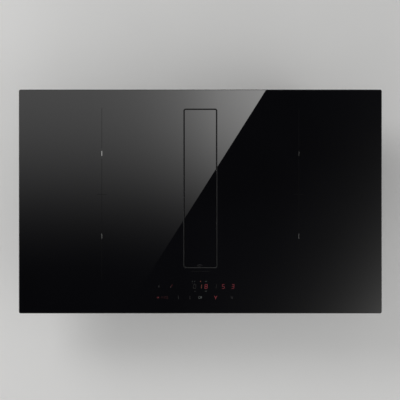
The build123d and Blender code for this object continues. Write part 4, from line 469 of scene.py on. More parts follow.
def black_glass(name, colour):
    """Polished glass ceramic with a faint milky drift and wiping traces."""
    finish = Finish(name, specular_ior_level=0.5, ior=1.5)
    finish.paint(finish.noise(3.0, 2.0), (0.35, colour), (0.7, shade(colour, 1.35)))
    wipes = finish.noise(9.0, 4.0, 0.6, (1.0, 3.0, 1.0))
    finish.roughen(wipes, 0.002, 0.010)


def printed(name, colour, glow=None, strength=0.0, matt=0.12, **values):
    """Fired print or a lit window in the glass."""
    finish = Finish(name, ior=1.5, **values)
    speckle = finish.noise(2500.0, 2.0)
    finish.paint(speckle, (0.3, shade(colour, 0.8)), (0.7, shade(colour, 1.15)))
    finish.roughen(speckle, matt, matt + 0.12)
    if glow:
        finish.shader.inputs["Emission Strength"].default_value = strength
        stops = ((0.3, shade(glow, 0.85)), (0.7, shade(glow, 1.1)))
        finish.connect(add_ramp(finish.tree, finish.noise(900.0, 1.0), stops), "Emission Color")


def galvanised(name, colour):
    """Hot-dip zinc with its spangle and a little handling dirt."""
    finish = Finish(name, metallic=1.0)
    spangle = finish.grey(finish.cells(150.0))
    fine = finish.grey(finish.cells(420.0))
    dirt = finish.noise(14.0, 4.0)
    mixed = finish.times(spangle, finish.spread(fine, 0.75, 1.0, 0, 1))
    finish.paint(mixed, (0.0, shade(colour, 0.86)), (0.5, colour), (1.0, shade(colour, 1.14)))
    finish.roughen(finish.times(mixed, finish.spread(dirt, 0.7, 1.3)), 0.36, 0.50, 0.0, 1.0)
    finish.bump(finish.noise(60.0, 3.0), 0.0002, 0.25)


def brushed(name, colour, direction, low=0.22, high=0.38):
    """Brushed sheet: fine streaks along one way."""
    finish = Finish(name, metallic=1.0)
    streaks = finish.noise(90.0, 6.0, 0.7, direction)
    finish.paint(streaks, (0.25, shade(colour, 0.86)), (0.75, shade(colour, 1.12)))
    finish.roughen(streaks, low, high)
    finish.bump(streaks, 0.00005, 0.35)


def zinc_plated(name, colour):
    """Bright zinc with a faint yellow and blue passivation."""
    finish = Finish(name, metallic=1.0)
    cloud = finish.noise(220.0, 3.0)
    finish.paint(cloud, (0.3, shade(colour, 0.9)), (0.5, (0.70, 0.68, 0.58)), (0.72, (0.62, 0.66, 0.72)))
    finish.roughen(cloud, 0.2, 0.4)
    finish.bump(finish.noise(900.0, 2.0), 0.00003, 0.4)


def moulded(name, colour, grain, depth, low, high, flow):
    """Moulded plastic: a spark-eroded grain, soft flow marks and a slight scuff."""
    finish = Finish(name, ior=1.47)
    marks = finish.noise(11.0, 3.0, 0.5, (1, 1, 2.2))
    finish.paint(marks, (0.3, shade(colour, 1 - flow)), (0.7, shade(colour, 1 + 1.6 * flow)))
    texture = finish.noise(grain, 3.0, 0.6)
    finish.roughen(finish.times(texture, finish.spread(marks, 0.85, 1.15)), low, high)
    finish.bump(texture, depth, 0.6)


def foam(name, colour):
    """Closed-cell foam with open pores at its cut face; the pores are darkened in colour as painted shade."""
    finish = Finish(name, roughness=0.9)
    pores = finish.cells(900.0, "Distance")
    # Painted shade: the colour falls to under half in the pores' pits.
    finish.paint(pores, (0.05, shade(colour, 0.45)), (0.45, colour))
    finish.bump(pores, 0.0003, 0.8)


def rubber(name, colour):
    """Black rubber with a greyish bloom."""
    finish = Finish(name, ior=1.5)
    bloom = finish.noise(40.0, 4.0)
    finish.paint(bloom, (0.3, colour), (0.75, shade(colour, 1.8)))
    finish.roughen(bloom, 0.55, 0.75)
    finish.bump(finish.noise(1500.0, 2.0), 0.00005, 0.5)


def circuit(name, colour):
    """Solder mask over copper tracks, with tinned pads."""
    finish = Finish(name, ior=1.5)
    tracks = finish.cells(160.0, "Distance", "DISTANCE_TO_EDGE", 0.55)
    pads = finish.cells(240.0, "Distance", randomness=0.25)
    lay = finish.spread(tracks, 1.0, 0.0, 0.05, 0.09)
    inputs = {
        "Factor": finish.spread(pads, 1.0, 0.0, 0.10, 0.14),
        "A": add_ramp(finish.tree, lay, ((0.0, colour), (1.0, shade(colour, 1.9)))),
        "B": (0.55, 0.55, 0.52, 1),
    }
    tinned = add_node(finish.tree, "Mix", inputs, data_type="RGBA")
    finish.connect(tinned.outputs["Result"], "Base Color")
    finish.roughen(finish.noise(50.0), 0.28, 0.42)
    finish.bump(lay, 0.00003, 0.5)


def litz(name, colour):
    """Bundles of fine enamelled strands."""
    finish = Finish(name, metallic=0.75)
    strands = finish.noise(700.0, 2.0, 0.5, (1, 1, 0.6))
    finish.paint(strands, (0.3, shade(colour, 0.55)), (0.7, shade(colour, 1.25)))
    finish.roughen(strands, 0.28, 0.5)
    finish.bump(strands, 0.0002, 0.8)


def mineral(name, colour, scale, low, high, fleck):
    """Mica and ferrite: a dense body with flecks."""
    finish = Finish(name, ior=1.55)
    body = finish.noise(scale, 5.0, 0.7)
    finish.paint(body, (0.3, shade(colour, 0.7)), (0.6, colour), (0.8, fleck))
    finish.roughen(body, low, high)
    finish.bump(body, 0.0001, 0.4)


def components(name, sleeve, core, ink):
    """Sleeved capacitors and wound chokes in a few tones."""
    finish = Finish(name, ior=1.5)
    finish.paint(finish.grey(finish.cells(28.0)), (0.2, sleeve), (0.55, core), (0.9, ink))
    finish.roughen(finish.noise(300.0), 0.3, 0.5)
    finish.bump(finish.bands(420.0, "Z"), 0.0001, 0.3)


# ---------------------------------------------------------------- operators
class COOKTOP_OT_finishes(bpy.types.Operator):
    """Make every finish and put it on the frame's own pieces"""

    bl_idname = "cooktop.finishes"
    bl_label = "Finishes"

    # How a brushed finish's noise is stretched, for streaks along the long way of the pieces.
    ALONG_X, ALONG_Y, ALONG_Z = (1, 18, 18), (25, 1, 25), (18, 18, 1)
    # Name, colour, way of the streaks, smoothest and roughest.
    BRUSHED = (
        ("spring_steel", (0.46, 0.47, 0.50), ALONG_Y, 0.25, 0.42),
        ("aluminium_sheet", (0.74, 0.75, 0.76), ALONG_X, 0.30, 0.45),
        ("aluminium_extrusion", (0.70, 0.71, 0.73), ALONG_Y, 0.32, 0.48),
        ("motor_steel", (0.36, 0.37, 0.38), ALONG_Z, 0.30, 0.50),
    )
    # Name, colour, scale and depth of the grain, smoothest, roughest, and strength of the flow marks.
    MOULDED = (
        # black_moulding is darker than the other black plastics: its own black, partly painted shade, for the
        # collar and frame seen in the dark gap round the flap.
        ("black_moulding", (0.009, 0.009, 0.0095), 1900.0, 0.00004, 0.38, 0.50, 0.06),
        ("white_moulding", (0.70, 0.69, 0.64), 1200.0, 0.00005, 0.45, 0.60, 0.05),
        ("fan_plastic", (0.028, 0.028, 0.030), 1300.0, 0.00005, 0.40, 0.55, 0.12),
        ("display_red", (0.16, 0.02, 0.02), 900.0, 0.00003, 0.25, 0.40, 0.12),
    )
    # Name, share of the lit colour behind the glass, and share of the lit strength.
    LIT_WINDOWS = (("lit_window", 0.03, 1.0), ("soft_window", 0.03, 0.76), ("dim_window", 0.01, 0.16))
    # Name, colour behind the glass, colour of the glow, and share of the lit strength.
    OTHER_WINDOWS = (
        ("key_window", (0.02, 0.022, 0.021), (0.55, 0.60, 0.58), 0.21),
        ("warm_window", (0.02, 0.018, 0.017), (0.95, 0.22, 0.12), 0.62),
    )

    def execute(self, context):
        colours = context.scene.cooktop_finishes
        marks = context.scene.cooktop_marks
        controls = context.scene.cooktop_controls
        grey = tuple(colours.grey_colour)
        steel = tuple(colours.steel_colour)
        black_glass("black_ceramic_glass", tuple(colours.glass_colour))
        foam("grey_foam", (0.14, 0.14, 0.15))
        galvanised("galvanised_steel", tuple(colours.zinc_colour))
        zinc_plated("zinc_screws", (0.66, 0.66, 0.62))
        brushed("stainless_mesh", steel, self.ALONG_Y, 0.2, 0.34)
        brushed("stainless_sheet", shade(steel, 0.95), self.ALONG_Y)
        for values in self.BRUSHED:
            brushed(*values)
        for values in self.MOULDED:
            moulded(*values)
        moulded("black_polypropylene", tuple(colours.moulding_colour), 1000.0, 0.00009, 0.42, 0.6, 0.14)
        moulded("grey_polypropylene", grey, 1000.0, 0.00007, 0.4, 0.55, 0.06)
        moulded("grey_moulding", shade(grey, 1.5), 1100.0, 0.00006, 0.42, 0.56, 0.05)
        mineral("mica", (0.50, 0.43, 0.33), 240.0, 0.35, 0.6, (0.72, 0.66, 0.54))
        mineral("ferrite", (0.055, 0.055, 0.06), 500.0, 0.5, 0.75, (0.077, 0.077, 0.084))
        litz("litz_windings", (0.55, 0.26, 0.11))
        circuit("circuit_board", (0.012, 0.10, 0.045))
        components("components", (0.03, 0.05, 0.13), (0.10, 0.045, 0.02), (0.02, 0.02, 0.025))
        rubber("black_rubber", (0.02, 0.02, 0.02))
        printed("silver_print", tuple(marks.tick_colour), matt=0.04, metallic=0.92)
        printed("dark_print", tuple(marks.line_colour), matt=0.6, specular_ior_level=0.05)
        printed("faint_print", (0.016, 0.015, 0.015))
        printed("grey_print", (0.035, 0.034, 0.034))
        lit = tuple(controls.lit_colour)
        windows = [(name, shade(lit, behind), lit, share) for name, behind, share in self.LIT_WINDOWS]
        for name, behind, glow, share in (*windows, *self.OTHER_WINDOWS):
            printed(name, behind, glow, share * controls.lit_strength)
        for part in frame["record"]["subparts"]:
            node = frame["nodes"][part["node"]]
            material = finishes[part["material_slot"]]
            if not node.material_slots:
                node.data.materials.append(material)
            for holder in node.material_slots:
                holder.material = material
        return {"FINISHED"}


class COOKTOP_OT_stage(bpy.types.Operator):
    """Set the camera straight above, the floor, the lights and the softbox that the glass mirrors"""

    bl_idname = "cooktop.stage"
    bl_label = "Stage"

    FLOOR_RADIUS = 30
    CARD_MARGIN = 0.06
    CARD_GAP = 0.1
    # Two points of the glass that the softbox's straight edge crosses.
    EDGE = ((0.1499, 0.2549), (-0.1222, -0.1749))
    # The way over the glass, square to that edge, in which the dark card's glow grows.
    GLOW_WAY = (0.827, -0.562, 0)
    # The softbox's brightness at shares of the way from the front to the rear, and from the left to the right.
    OVER_DEPTH = (
        (0.0, 0.0), (0.20, 0.004), (0.34, 0.045), (0.48, 0.17), (0.62, 0.42), (0.76, 0.70), (0.9, 0.92),
        (1.0, 1.0),
    )
    OVER_WIDTH = ((0.0, 0.25), (0.2, 0.265), (0.33, 0.31), (0.45, 0.45), (0.55, 0.72), (0.70, 1.12))
    # Name, place, size, setting of the power and share of it.
    LAMPS = (
        ("key_light", (-1.6, 1.5, 2.2), 1.6, "key_power", 1.0),
        ("fill_light_right", (2.2, -0.8, 1.5), 1.8, "fill_power", 1.0),
        ("fill_light_front", (-0.6, -2.4, 1.3), 1.8, "fill_power", 1.0),
        ("fill_light_low", (-1.8, -1.4, 0.15), 1.2, "fill_power", 0.5),
        ("fill_light_under", (0.3, -0.5, -2.2), 2.4, "fill_power", 3.0),
    )
    LAMP_AIM = Vector((0, 0, -0.08))
    SEEN_WORLD = 0.9

    def execute(self, context):
        stage = context.scene.cooktop_stage
        scene = context.scene
        camera_height = stage.frame_width * stage.lens / SENSOR_WIDTH
        camera_data = bpy.data.cameras.new("overhead_camera")
        camera_data.sensor_width = SENSOR_WIDTH
        camera_data.lens = stage.lens
        camera_data.clip_start = 0.1
        camera_data.clip_end = 100.0
        camera = bpy.data.objects.new("overhead_camera", camera_data)
        camera.location = (stage.aim[0], stage.aim[1], GLASS_TOP + camera_height)
        scene.collection.objects.link(camera)
        scene.camera = camera
        scene.view_settings.view_transform = "Standard"
        self.make_floor(stage)
        self.make_mirrored_cards(stage, camera_height)
        self.make_lights(scene, stage)
        self.make_world(scene, stage)
        return {"FINISHED"}

    def make_floor(self, stage):
        floor = disc("floor", 96, self.FLOOR_RADIUS, height=cad_low.z)
        finish = Finish("floor_paint", roughness=0.7)
        colour = tuple(stage.floor_colour)
        finish.paint(finish.noise(1.3, 4.0), (0.3, shade(colour, 0.97)), (0.7, shade(colour, 1.03)))
        # Seen from below, the floor lets the view and the lamp under it through.
        tree = finish.tree
        below = add_node(tree, "NewGeometry").outputs["Backfacing"]
        to_lamp = add_node(tree, "LightPath").outputs["Is Shadow Ray"]
        mix = add_node(tree, "MixShader", {
            "Fac": add_math(tree, "MAXIMUM", below, to_lamp),
            1: finish.shader.outputs["BSDF"],
            2: add_node(tree, "BsdfTransparent").outputs["BSDF"],
        })
        tree.links.new(mix.outputs["Shader"], tree.nodes["Material Output"].inputs["Surface"])
        floor.data.materials.append(finish.material)

    def make_mirrored_cards(self, stage, camera_height):
        """The cards that stand above the camera and only show as mirror images in the glass."""
        aim = Vector(stage.aim)
        reach = 1 + stage.box_height / camera_height

        def mirrored(x, y):
            """The card's point that the camera sees mirrored at a point of the glass."""
            return aim + (Vector((x, y)) - aim) * reach

        height = GLASS_TOP + stage.box_height
        margin = Vector((self.CARD_MARGIN, self.CARD_MARGIN))
        front_left = mirrored(glass_low.x, glass_low.y)
        rear_right = mirrored(glass_high.x, glass_high.y)
        middle = (front_left + rear_right) / 2
        size = rear_right - front_left + 2 * margin
        # A dark card keeps the room out of the mirror and glows towards the front right corner.
        dark_card = sheet("dark_card", middle, *size, height + self.CARD_GAP)
        self.glow(dark_card, stage, mirrored(glass_high.x, glass_low.y), stage.glow_halving * reach)
        # The softbox: its straight right-hand edge crosses the glass as the sharp diagonal.
        softbox = sheet("softbox", middle, *size, height)
        rear, front = (mirrored(*point) for point in self.EDGE)
        along = front - rear
        pick(softbox, "FACE")
        bpy.ops.mesh.bisect(plane_co=(*rear, height), plane_no=(-along.y, along.x, 0), clear_outer=True)
        leave_edit()
        self.gradient(softbox, stage, front_left, rear_right)

    def light_card(self, card, name, strength, factor, colour):
        """Lets a card glow by strength(tree, point) times factor, for mirror images alone."""
        material = bpy.data.materials.new(name)
        material.use_nodes = True
        tree = material.node_tree
        tree.nodes.remove(tree.nodes["Principled BSDF"])
        point = add_node(tree, "TexCoord").outputs["Object"]
        level = add_math(tree, "MULTIPLY", strength(tree, point), factor)
        emission = add_node(tree, "Emission", {"Strength": level, "Color": (*colour, 1)})
        tree.links.new(emission.outputs["Emission"], tree.nodes["Material Output"].inputs["Surface"])
        card.data.materials.append(material)
        for ray in ("camera", "diffuse", "transmission", "volume_scatter", "shadow"):
            setattr(card, "visible_" + ray, False)

    def gradient(self, card, stage, front_left, rear_right):
        """Brightest at the rear by the edge, falling to the left and to nothing at the front."""
        def strength(tree, point):
            split = add_node(tree, "SeparateXYZ", {"Vector": point})
            levels = []
            for axis, stops in ((1, self.OVER_DEPTH), (0, self.OVER_WIDTH)):
                inputs = {
                    "Value": split.outputs[axis], "From Min": front_left[axis], "From Max": rear_right[axis],
                }
                share = add_node(tree, "MapRange", inputs, clamp=False).outputs["Result"]
                greys = [(position, (value, value, value)) for position, value in stops]
                levels.append(add_ramp(tree, share, greys, "B_SPLINE"))
            return add_math(tree, "MULTIPLY", *levels)

        self.light_card(card, "softbox_cloth", strength, stage.box_strength, (1.0, 0.995, 0.985))

    def glow(self, card, stage, corner, halving):
        """Brightest at the corner, and half as bright at every halving against the glow's way."""
        step = Vector(self.GLOW_WAY) / halving

        def strength(tree, point):
            inputs = {0: point, 1: step}
            along = add_node(tree, "VectorMath", inputs, operation="DOT_PRODUCT").outputs["Value"]
            return add_math(tree, "POWER", 2.0, along)

        factor = stage.glow_strength * 2 ** -(step.x * corner.x + step.y * corner.y)
        self.light_card(card, "dark_cloth", strength, factor, (1.0, 0.995, 0.96))

    def make_lights(self, scene, stage):
        for name, place, size, power, share in self.LAMPS:
            data = bpy.data.lights.new(name, "AREA")
            data.shape = "DISK"
            data.size = size
            data.energy = share * getattr(stage, power)
            lamp = bpy.data.objects.new(name, data)
            lamp.location = place
            lamp.rotation_euler = (self.LAMP_AIM - Vector(place)).to_track_quat("-Z", "Y").to_euler()
            lamp.visible_camera = False
            lamp.visible_glossy = False
            scene.collection.objects.link(lamp)

    def make_world(self, scene, stage):
        """A plain pale room: at one level where it is seen or mirrored, at another where it lights."""
        world = bpy.data.worlds.new("studio")
        world.use_nodes = True
        scene.world = world
        tree = world.node_tree
        background = tree.nodes["Background"]
        background.inputs["Color"].default_value = (0.93, 0.935, 0.94, 1)
        path = add_node(tree, "LightPath").outputs
        seen = path["Is Camera Ray"]
        for ray in ("Is Glossy Ray", "Is Transmission Ray"):
            seen = add_math(tree, "MAXIMUM", seen, path[ray])
        inputs = {"Value": seen, "To Min": stage.world_strength, "To Max": self.SEEN_WORLD}
        level = add_node(tree, "MapRange", inputs).outputs["Result"]
        tree.links.new(level, background.inputs["Strength"])


class COOKTOP_OT_zone_marks(bpy.types.Operator):
    """Print the zone lines, ticks and cross marks on the glass"""

    bl_idname = "cooktop.zone_marks"
    bl_label = "Zone marks"

    ZONE_X = 0.2253
    TICKS_Y = (0.1098, -0.0789)
    LINE_REAR, LINE_FRONT = 0.2138, -0.1806
    TICK_GAP = 0.012
    CROSS_Y = 0.016
    CROSS_HALF = 0.011

    def execute(self, context):
        marks = context.scene.cooktop_marks
        self.bottom, self.top = print_levels(context)
        width = marks.line_width
        rear_tick, front_tick = self.TICKS_Y
        pale, dark = [], []
        for side in (-1, 1):
            x = side * self.ZONE_X
            for y in self.TICKS_Y:
                pale.append(self.bar("tick", (x, y), marks.tick_width, marks.tick_length))
            for high, low in (
                (self.LINE_REAR, rear_tick + self.TICK_GAP),
                (rear_tick - self.TICK_GAP, front_tick + self.TICK_GAP),
                (front_tick - self.TICK_GAP, self.LINE_FRONT),
            ):
                dark.append(self.bar("line", (x, (high + low) / 2), width, high - low))
            for end in (-1, 1):
                middle = (x + end * (self.CROSS_HALF + width) / 2, self.CROSS_Y)
                dark.append(self.bar("cross", middle, self.CROSS_HALF - width, width))
        finish_piece(joined("zone_ticks", pale), "silver_print", "housing", False)
        finish_piece(joined("zone_lines", dark), "dark_print", "housing", False)
        return {"FINISHED"}

    def bar(self, name, centre, width, length):
        """A thin printed bar with rounded ends."""
        low = (centre[0] - width / 2, centre[1] - length / 2, self.bottom)
        high = (centre[0] + width / 2, centre[1] + length / 2, self.top)
        piece = box(name, low, high)
        bevel_edges(
            piece, min(width, length) * 0.45, 4,
            lambda edge: abs(edge.verts[0].co.z - edge.verts[1].co.z) > 1e-6,
        )
        return piece


class COOKTOP_OT_controls(bpy.types.Operator):
    """Make the seven-segment digits, the dots, the slider and the key symbols"""

    bl_idname = "cooktop.controls"
    bl_label = "Control field"

    # The segments run clockwise from "a" at the top, with "g" in the middle.
    SEGMENTS = {"0": "abcdef", "1": "bc", "3": "abgcd", "5": "afgcd", "8": "abcdefg"}
    DIGIT_ROW = -0.1943
    DOT_ROW = -0.1827
    KEY_ROW = -0.2195
    # Digit, middle and group.
    DIGITS = (
        ("1", 0.0001, "warm"), ("8", 0.0131, "lit"), ("5", 0.0525, "soft"), ("3", 0.0742, "soft"),
        ("0", -0.0131, "faint"), ("1", 0.0338, "faint"),
    )
    # Shape, group, place and the shape's own sizes.
    SYMBOLS = (
        ("dot", "warm", (0.0003, DOT_ROW), 0.00095),
        ("dot", "key", (-0.0184, DOT_ROW), 0.0007),
        ("dot", "key", (-0.0131, DOT_ROW), 0.0008),
        ("dot", "faint", (-0.0184, -0.1875), 0.00055),
        ("dot", "faint", (-0.0131, -0.1875), 0.00055),
        ("bar", "key", (0.0129, DOT_ROW), 0.0042, 0.0011),
        ("bar", "key", (0.0129, -0.2050), 0.0042, 0.0011),
        ("bar", "faint", (-0.0120, -0.2053), 0.0042, 0.0011),
        # Power: a dot in a ring.
        ("dot", "lit", (-0.0968, KEY_ROW), 0.0010),
        ("ring", "dim", (-0.0968, KEY_ROW), 0.0028, 0.0005),
        # Slider: five bars that grow to the right, and two slim uprights beside it.
        ("bar", "dim", (-0.0894, KEY_ROW), 0.0005, 0.0040),
        ("bar", "dim", (-0.0858, KEY_ROW), 0.0005, 0.0048),
        ("bar", "dim", (-0.0822, KEY_ROW), 0.0005, 0.0056),
        ("bar", "dim", (-0.0786, KEY_ROW), 0.0005, 0.0064),
        ("bar", "dim", (-0.0750, KEY_ROW), 0.0005, 0.0072),
        ("bar", "faint", (-0.0502, KEY_ROW), 0.0009, 0.0085),
        ("bar", "faint", (-0.0237, KEY_ROW), 0.0009, 0.0085),
        # Lock: a ring beside a solid body.
        ("ring", "key", (-0.0019, KEY_ROW), 0.0031, 0.0010),
        ("bar", "key", (0.0021, -0.2192), 0.0026, 0.0048),
        # Boost: two arms that meet over a stem.
        ("stroke", "lit", (0.0322, -0.2163), (0.0350, -0.2201), 0.0011),
        ("stroke", "lit", (0.0378, -0.2163), (0.0350, -0.2201), 0.0011),
        ("stroke", "lit", (0.0350, -0.2199), (0.0350, -0.2233), 0.0011),
        # Pause: two bars.
        ("bar", "faint", (0.0707, KEY_ROW), 0.0012, 0.0058),
        ("bar", "faint", (0.0735, KEY_ROW), 0.0012, 0.0058),
        # Extractor: a slim hood. Filter: a leaning leaf.
        ("wedge", "faint", (-0.0948, -0.1946), 0.0020, 0.0042),
        ("stroke", "key", (-0.0950, -0.1962), (-0.0944, -0.1912), 0.0006),
        ("stroke", "dim", (-0.0684, -0.1966), (-0.0640, -0.1903), 0.0014),
        ("dot", "key", (-0.0678, -0.1953), 0.0009),
    )
    # Group, name of its piece and finish.
    PIECES = (
        ("lit", "lit_segments", "lit_window"), ("dim", "dim_segments", "dim_window"),
        ("faint", "faint_symbols", "faint_print"), ("key", "key_symbols", "key_window"),
        ("warm", "warm_segments", "warm_window"), ("soft", "soft_segments", "soft_window"),
    )

    def execute(self, context):
        controls = context.scene.cooktop_controls
        self.bottom, top = print_levels(context)
        self.rise = top - self.bottom
        groups = {group: [] for group, name, finish in self.PIECES}
        for digit, x, group in self.DIGITS:
            groups[group] += self.digit(digit, (x, self.DIGIT_ROW), controls)
        for shape, group, place, *sizes in self.SYMBOLS:
            groups[group].append(getattr(self, shape)(place, *sizes))
        for group, name, finish in self.PIECES:
            finish_piece(joined(name, groups[group]), finish, "housing", False)
        return {"FINISHED"}

    def dot(self, centre, radius):
        return thicken(disc("symbol", 20, radius, centre, self.bottom), self.rise)

    def ring(self, centre, radius, width):
        return thicken(open_middle(disc("symbol", 28, radius, centre, self.bottom), width), self.rise)

    def wedge(self, centre, half_width, height):
        """A slim triangle that points to the rear, from one with corners at a distance of 1."""
        stretch = (half_width / math.sin(math.radians(60)), height / 1.5)
        return thicken(disc("symbol", 3, 1.0, centre, self.bottom, stretch), self.rise)

    def bar(self, centre, width, height):
        """An upright or lying bar with rounded corners."""
        piece = sheet("symbol", centre, width, height, self.bottom)
        bevel_corners(piece, 0.3 * min(width, height), 3)
        return thicken(piece, self.rise)

    def segment(self, centre, length, width, angle):
        """A six-cornered bar with pointed ends, turned by angle."""
        piece = settle(disc("symbol", 6, width / 2, height=self.bottom), turn=(0, 0, math.radians(90)))
        for side in (-1, 1):
            pick(piece, "VERT", lambda vertex: vertex.co.x * side > 1e-6)
            bpy.ops.transform.translate(value=(side * (length - width) / 2, 0, 0))
            leave_edit()
        return thicken(settle(piece, (*centre, 0), (0, 0, angle)), self.rise)

    def digit(self, digit, centre, controls):
        """The lit segments of one digit, leaning to the right."""
        half_width = (controls.digit_width - controls.segment_width) / 2
        half_height = (controls.digit_height - controls.segment_width) / 2
        lean = math.tan(controls.slant)
        gap = 0.25 * controls.segment_width
        lying = (2 * half_width - gap, controls.segment_width, 0.0)
        upright = (half_height - gap, controls.segment_width, math.pi / 2 - controls.slant)
        places = {
            "a": (0, half_height, lying), "g": (0, 0, lying), "d": (0, -half_height, lying),
            "b": (half_width, half_height / 2, upright), "c": (half_width, -half_height / 2, upright),
            "f": (-half_width, half_height / 2, upright), "e": (-half_width, -half_height / 2, upright),
        }
        pieces = []
        for name in self.SEGMENTS[digit]:
            x, y, sizes = places[name]
            pieces.append(self.segment((centre[0] + x + y * lean, centre[1] + y), *sizes))
        return pieces

    def stroke(self, start, end, width):
        """A pointed bar from one point to another."""
        start, end = Vector(start), Vector(end)
        run = end - start
        return self.segment((start + end) / 2, run.length + width, width, math.atan2(run.y, run.x))


class COOKTOP_OT_flap_mark(bpy.types.Operator):
    """Make the small press mark at the flap's front edge and the faint line before it"""

    bl_idname = "cooktop.flap_mark"
    bl_label = "Flap mark"

    # Start and end of each stroke, from the flap's front edge, and its width.
    STROKES = (
        ((-0.0072, 0.0028), (-0.0012, 0.0050), 0.0005),
        ((-0.0012, 0.0050), (0.0042, 0.0028), 0.0005),
        ((-0.0050, 0.0010), (0.0012, 0.0012), 0.0008),
        ((-0.0004, 0.0012), (0.0012, 0.0012), 0.0012),
    )
    LINE_LEFT, LINE_RIGHT = -0.0195, 0.0225
    LINE_FRONT, LINE_REAR = -0.15975, -0.15945
    EDGE_RADIUS = 0.00001

    def execute(self, context):
        bottom, top = print_levels(context)
        strokes = []
        for start, end, width in self.STROKES:
            start, end = Vector((*start, 0)), Vector((*end, 0))
            run = end - start
            half = run.length / 2
            stroke = box("stroke", (-half, -width / 2, 0), (half, width / 2, top - bottom))
            settle(stroke, (start + end) / 2 + Vector((0, FLAP_FRONT, bottom)), (0, 0, math.atan2(run.y, run.x)))
            strokes.append(soften(stroke, self.EDGE_RADIUS, 1))
        finish_piece(joined("flap_press_mark", strokes), "grey_print", "flap", False)
        line = box(
            "flap_front_line", (self.LINE_LEFT, self.LINE_FRONT, bottom), (self.LINE_RIGHT, self.LINE_REAR, top)
        )
        soften(line, self.EDGE_RADIUS, 1)
        finish_piece(line, "faint_print", "housing", False)
        return {"FINISHED"}


class COOKTOP_OT_screws(bpy.types.Operator):
    """Stand detailed pan-head screws in for the frame's plain ones"""

    bl_idname = "cooktop.screws"
    bl_label = "Screws"

    HEAD_RADIUS = 3.5 * MM
    HEAD_HEIGHT = 1.6 * MM
    SHANK_RADIUS = 1.5 * MM
    SHANK_LENGTH = 5 * MM
    RIDGES = 4
    TURN_STEP = 0.7
    # Node and the way its heads face, where None is out of the nearest wall.
    SCREWS = (
        ("frame_screws", None), ("clip_screws", None), ("air_box_screws", (0, 0, -1)),
        ("control_box_screws", (0, 0, -1)), ("spigot_screws", (0, 1, 0)), ("scroll_screws", (0, 0, 1)),
        ("motor_screws", (0, 0, 1)),
    )

    def execute(self, context):
        template = self.template()
        for name, outwards in self.SCREWS:
            copies = []
            for index, (low, high) in enumerate(solid_boxes(name)):
                copies.append(self.placed(template, low, high, outwards, self.TURN_STEP * index))
            piece = finish_piece(joined(name + "_heads", copies), "zinc_screws", "housing")
            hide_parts(name)
        discard(template)
        return {"FINISHED"}

    def placed(self, template, low, high, outwards, turn):
        """A copy of the template in the place of the plain screw that fills the given box."""
        middle = (low + high) / 2
        size = high - low
        if outwards:
            direction = Vector(outwards)
        else:
            axis = max((0, 1), key=lambda k: abs(size[k] - 2 * self.HEAD_RADIUS))
            direction = Vector((0, 0, 0))
            direction[axis] = 1 if middle[axis] > 0 else -1
        axis = max(range(3), key=lambda k: abs(direction[k]))
        seat = middle.copy()
        seat[axis] = high[axis] if direction[axis] > 0 else low[axis]
        seat -= direction * self.HEAD_HEIGHT
        shank = size[axis] - self.HEAD_HEIGHT
        copy = copy_to(template, turn=turn)
        pick(copy, "VERT", lambda vertex: vertex.co.z < 0.1 * MM - self.SHANK_LENGTH)
        bpy.ops.transform.translate(value=(0, 0, self.SHANK_LENGTH - shank))
        leave_edit()
        placed = copy_to(copy, seat, direction)
        discard(copy)
        return placed

    def template(self):
        """One screw on its seat, pointing up: a domed head with a cross recess, and a threaded shank."""
        head = drum("screw", self.HEAD_RADIUS, self.HEAD_HEIGHT, (0, 0, self.HEAD_HEIGHT / 2), 28)
        bevel_edges(
            head, 0.9 * MM, 4, lambda edge: all(vertex.co.z > 0.9 * self.HEAD_HEIGHT for vertex in edge.verts)
        )
        long, wide, deep, over = 2.1 * MM, 0.42 * MM, 0.5 * MM, 3.0 * MM
        cutters = [
            box("cutter", (-x, -y, deep), (x, y, over)) for x, y in ((long, wide), (wide, long))
        ]
        for cutter in cutters:
            cut(head, cutter)
        discard(*cutters)
        pieces = [head, drum("shank", self.SHANK_RADIUS, self.SHANK_LENGTH, (0, 0, -self.SHANK_LENGTH / 2), 12)]
        for step in range(self.RIDGES):
            pieces.append(drum("ridge", self.SHANK_RADIUS * 0.98, 0.35 * MM, (0, 0, -(0.8 + step) * MM), 12))
        return joined("screw", pieces)


class COOKTOP_OT_rivets(bpy.types.Operator):
    """Set blind rivets where the tray's walls hold the side panels"""

    bl_idname = "cooktop.rivets"
    bl_label = "Rivets"

    HEIGHTS = (-20 * MM, -33 * MM)
    INSET = 6 * MM
    HEAD_HEIGHT = 0.9 * MM

    def execute(self, context):
        low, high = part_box("base_tray")
        template = drum("rivet", 2.6 * MM, self.HEAD_HEIGHT, (0, 0, self.HEAD_HEIGHT / 2), 24)
        rim = self.HEAD_HEIGHT - 0.1 * MM
        bevel_edges(template, 0.7 * MM, 3, lambda edge: all(vertex.co.z > rim for vertex in edge.verts))
        pick(template, "FACE", lambda face: face.normal.z > 0.9 and face.calc_center_median().z > rim)
        bpy.ops.mesh.inset(thickness=0.9 * MM)
        bpy.ops.mesh.extrude_region_move(TRANSFORM_OT_translate={"value": (0, 0, -0.5 * MM)})
        leave_edit()
        copies = []
        for side in (-1, 1):
            for end, y in ((-1, low.y), (1, high.y)):
                for z in self.HEIGHTS:
                    x = side * ((high.x - low.x) / 2 - self.INSET)
                    copies.append(copy_to(template, (x, y, z), (0, end, 0)))
        discard(template)
        finish_piece(joined("tray_rivets", copies), "zinc_screws", "housing")
        return {"FINISHED"}


